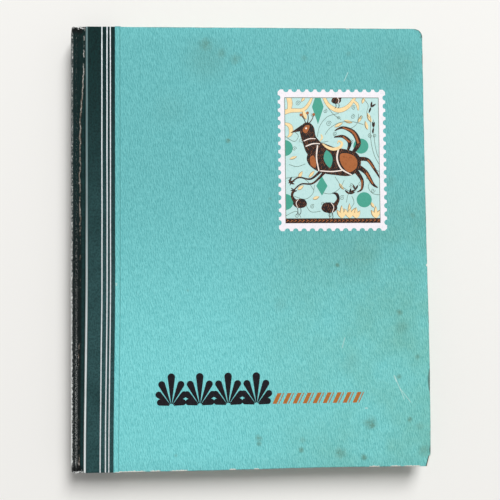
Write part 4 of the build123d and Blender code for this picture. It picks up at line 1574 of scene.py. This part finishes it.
def makePastedown(name, node, body, turned):
    s = pastedown
    low, high = nodeBox(node)
    tight, wide = s["cornerRadii"]
    outline = roundedLoop([
        (low[0], low[1], tight), (high[0], low[1], wide), (high[0], high[1], wide), (low[0], high[1], tight),
    ], 4)
    left, right, end = lapEnd + 1.0, albumWidth - s["turnIn"], boardHigh[1] - s["turnIn"]
    fade = s["fade"]
    cutsX = [left - fade, left, right, right + fade] + everyStep(left, right, s["stripWidth"])
    cutsY = [-end - fade, -end, end, end + fade] + everyStep(-end, end, s["stripWidth"])
    bm = plate(outline, low[2], high[2], s["edgeRadius"], cutsX, cutsY, 2)
    face = high[2] if turned else low[2]
    for vertex in bm.verts:
        x, y, z = vertex.co
        if abs(z - face) < 0.02:
            inside = smoothStep(left - fade, left, x) * smoothStep(right + fade, right, x)
            inside *= smoothStep(end + fade, end, abs(y))
            vertex.co.z += s["sink"] * inside * (-1 if turned else 1)
    piece = finishMesh(name, bm, [endpaper], body)
    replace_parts(piece, node)


makePastedown("frontPastedown", "front_pastedown", "front_cover", False)
makePastedown("backPastedown", "back_pastedown", "back_cover", True)
print("pastedowns")


# Pieces that keep their construction mesh get their finish here
keptFinishes = {
    "front_board": greyboard, "back_board": greyboard, "spine_board": greyboard, "guard_stubs": leafCard,
    "spine_lining": gauze, "head_band": endBand, "tail_band": endBand, "sewing_thread": threadFibre,
}
keptFinishes.update({f"leaf_{number}_card": leafCard for number in range(1, leafCount + 1)})
for node, material in keptFinishes.items():
    item = frame["nodes"][node]
    item.data.materials.clear()
    item.data.materials.append(material)
print("kept pieces")


# The floor, the light and the camera
studio = {
    "floorColour": (247, 246, 243),
    "floorShade": 0.985,
    "floorSize": 3.0,
    "skyColour": (255, 254, 252),
    "skyStrength": 0.30,
    "keyPlace": (0.90, 2.35, 3.40),
    "keySize": (1.6, 2.3),
    "keyPower": 160.0,
    "cameraPlace": (-21.5, -22.0, 427.1),
    "cameraTurn": (2.65, -2.83, -0.36),
    "lens": 60.5,
    "filmWidth": 36.0,
    "nearest": 0.01,
}


def makeFloor():
    f = finishNodes("floorPaint")
    clouds = f.noise(f.add("ShaderNodeTexCoord").outputs["Object"], 2.0)
    shade = tuple(channel * studio["floorShade"] for channel in linear(*studio["floorColour"])[:3]) + (1.0,)
    material = f.finish(f.mix(clouds, studio["floorColour"], shade), 0.9, 0.1)
    half = studio["floorSize"] / 2
    mesh = bpy.data.meshes.new("floor")
    mesh.from_pydata([(x, y, 0) for x, y in oblong(-half, half, -half, half)], [], [(0, 1, 2, 3)])
    mesh.materials.append(material)
    floor = bpy.data.objects.new("floor", mesh)
    bpy.context.scene.collection.objects.link(floor)


def makeLight():
    world = bpy.data.worlds.new("studioSky")
    bpy.context.scene.world = world
    world.use_nodes = True
    sky = world.node_tree.nodes["Background"]
    sky.inputs["Color"].default_value = linear(*studio["skyColour"])
    sky.inputs["Strength"].default_value = studio["skyStrength"]
    lamp = bpy.data.lights.new("softKey", "AREA")
    lamp.shape = "RECTANGLE"
    lamp.size, lamp.size_y = studio["keySize"]
    lamp.energy = studio["keyPower"]
    key = bpy.data.objects.new("softKey", lamp)
    key.location = studio["keyPlace"]
    key.rotation_euler = (-Vector(studio["keyPlace"])).to_track_quat("-Z", "Y").to_euler()
    bpy.context.scene.collection.objects.link(key)


def makeCamera():
    camera = bpy.data.objects.new("camera", bpy.data.cameras.new("camera"))
    x, y, z = studio["cameraPlace"]
    camera.location = (x * mm, y * mm, (albumTop + z) * mm)
    camera.rotation_mode = "ZYX"
    camera.rotation_euler = [math.radians(turn) for turn in studio["cameraTurn"]]
    camera.data.lens = studio["lens"]
    camera.data.sensor_width = studio["filmWidth"]
    camera.data.clip_start = studio["nearest"]
    bpy.context.scene.collection.objects.link(camera)
    bpy.context.scene.camera = camera


makeFloor()
makeLight()
makeCamera()
bpy.context.scene.view_settings.view_transform = "Standard"
print("floor, light and camera")
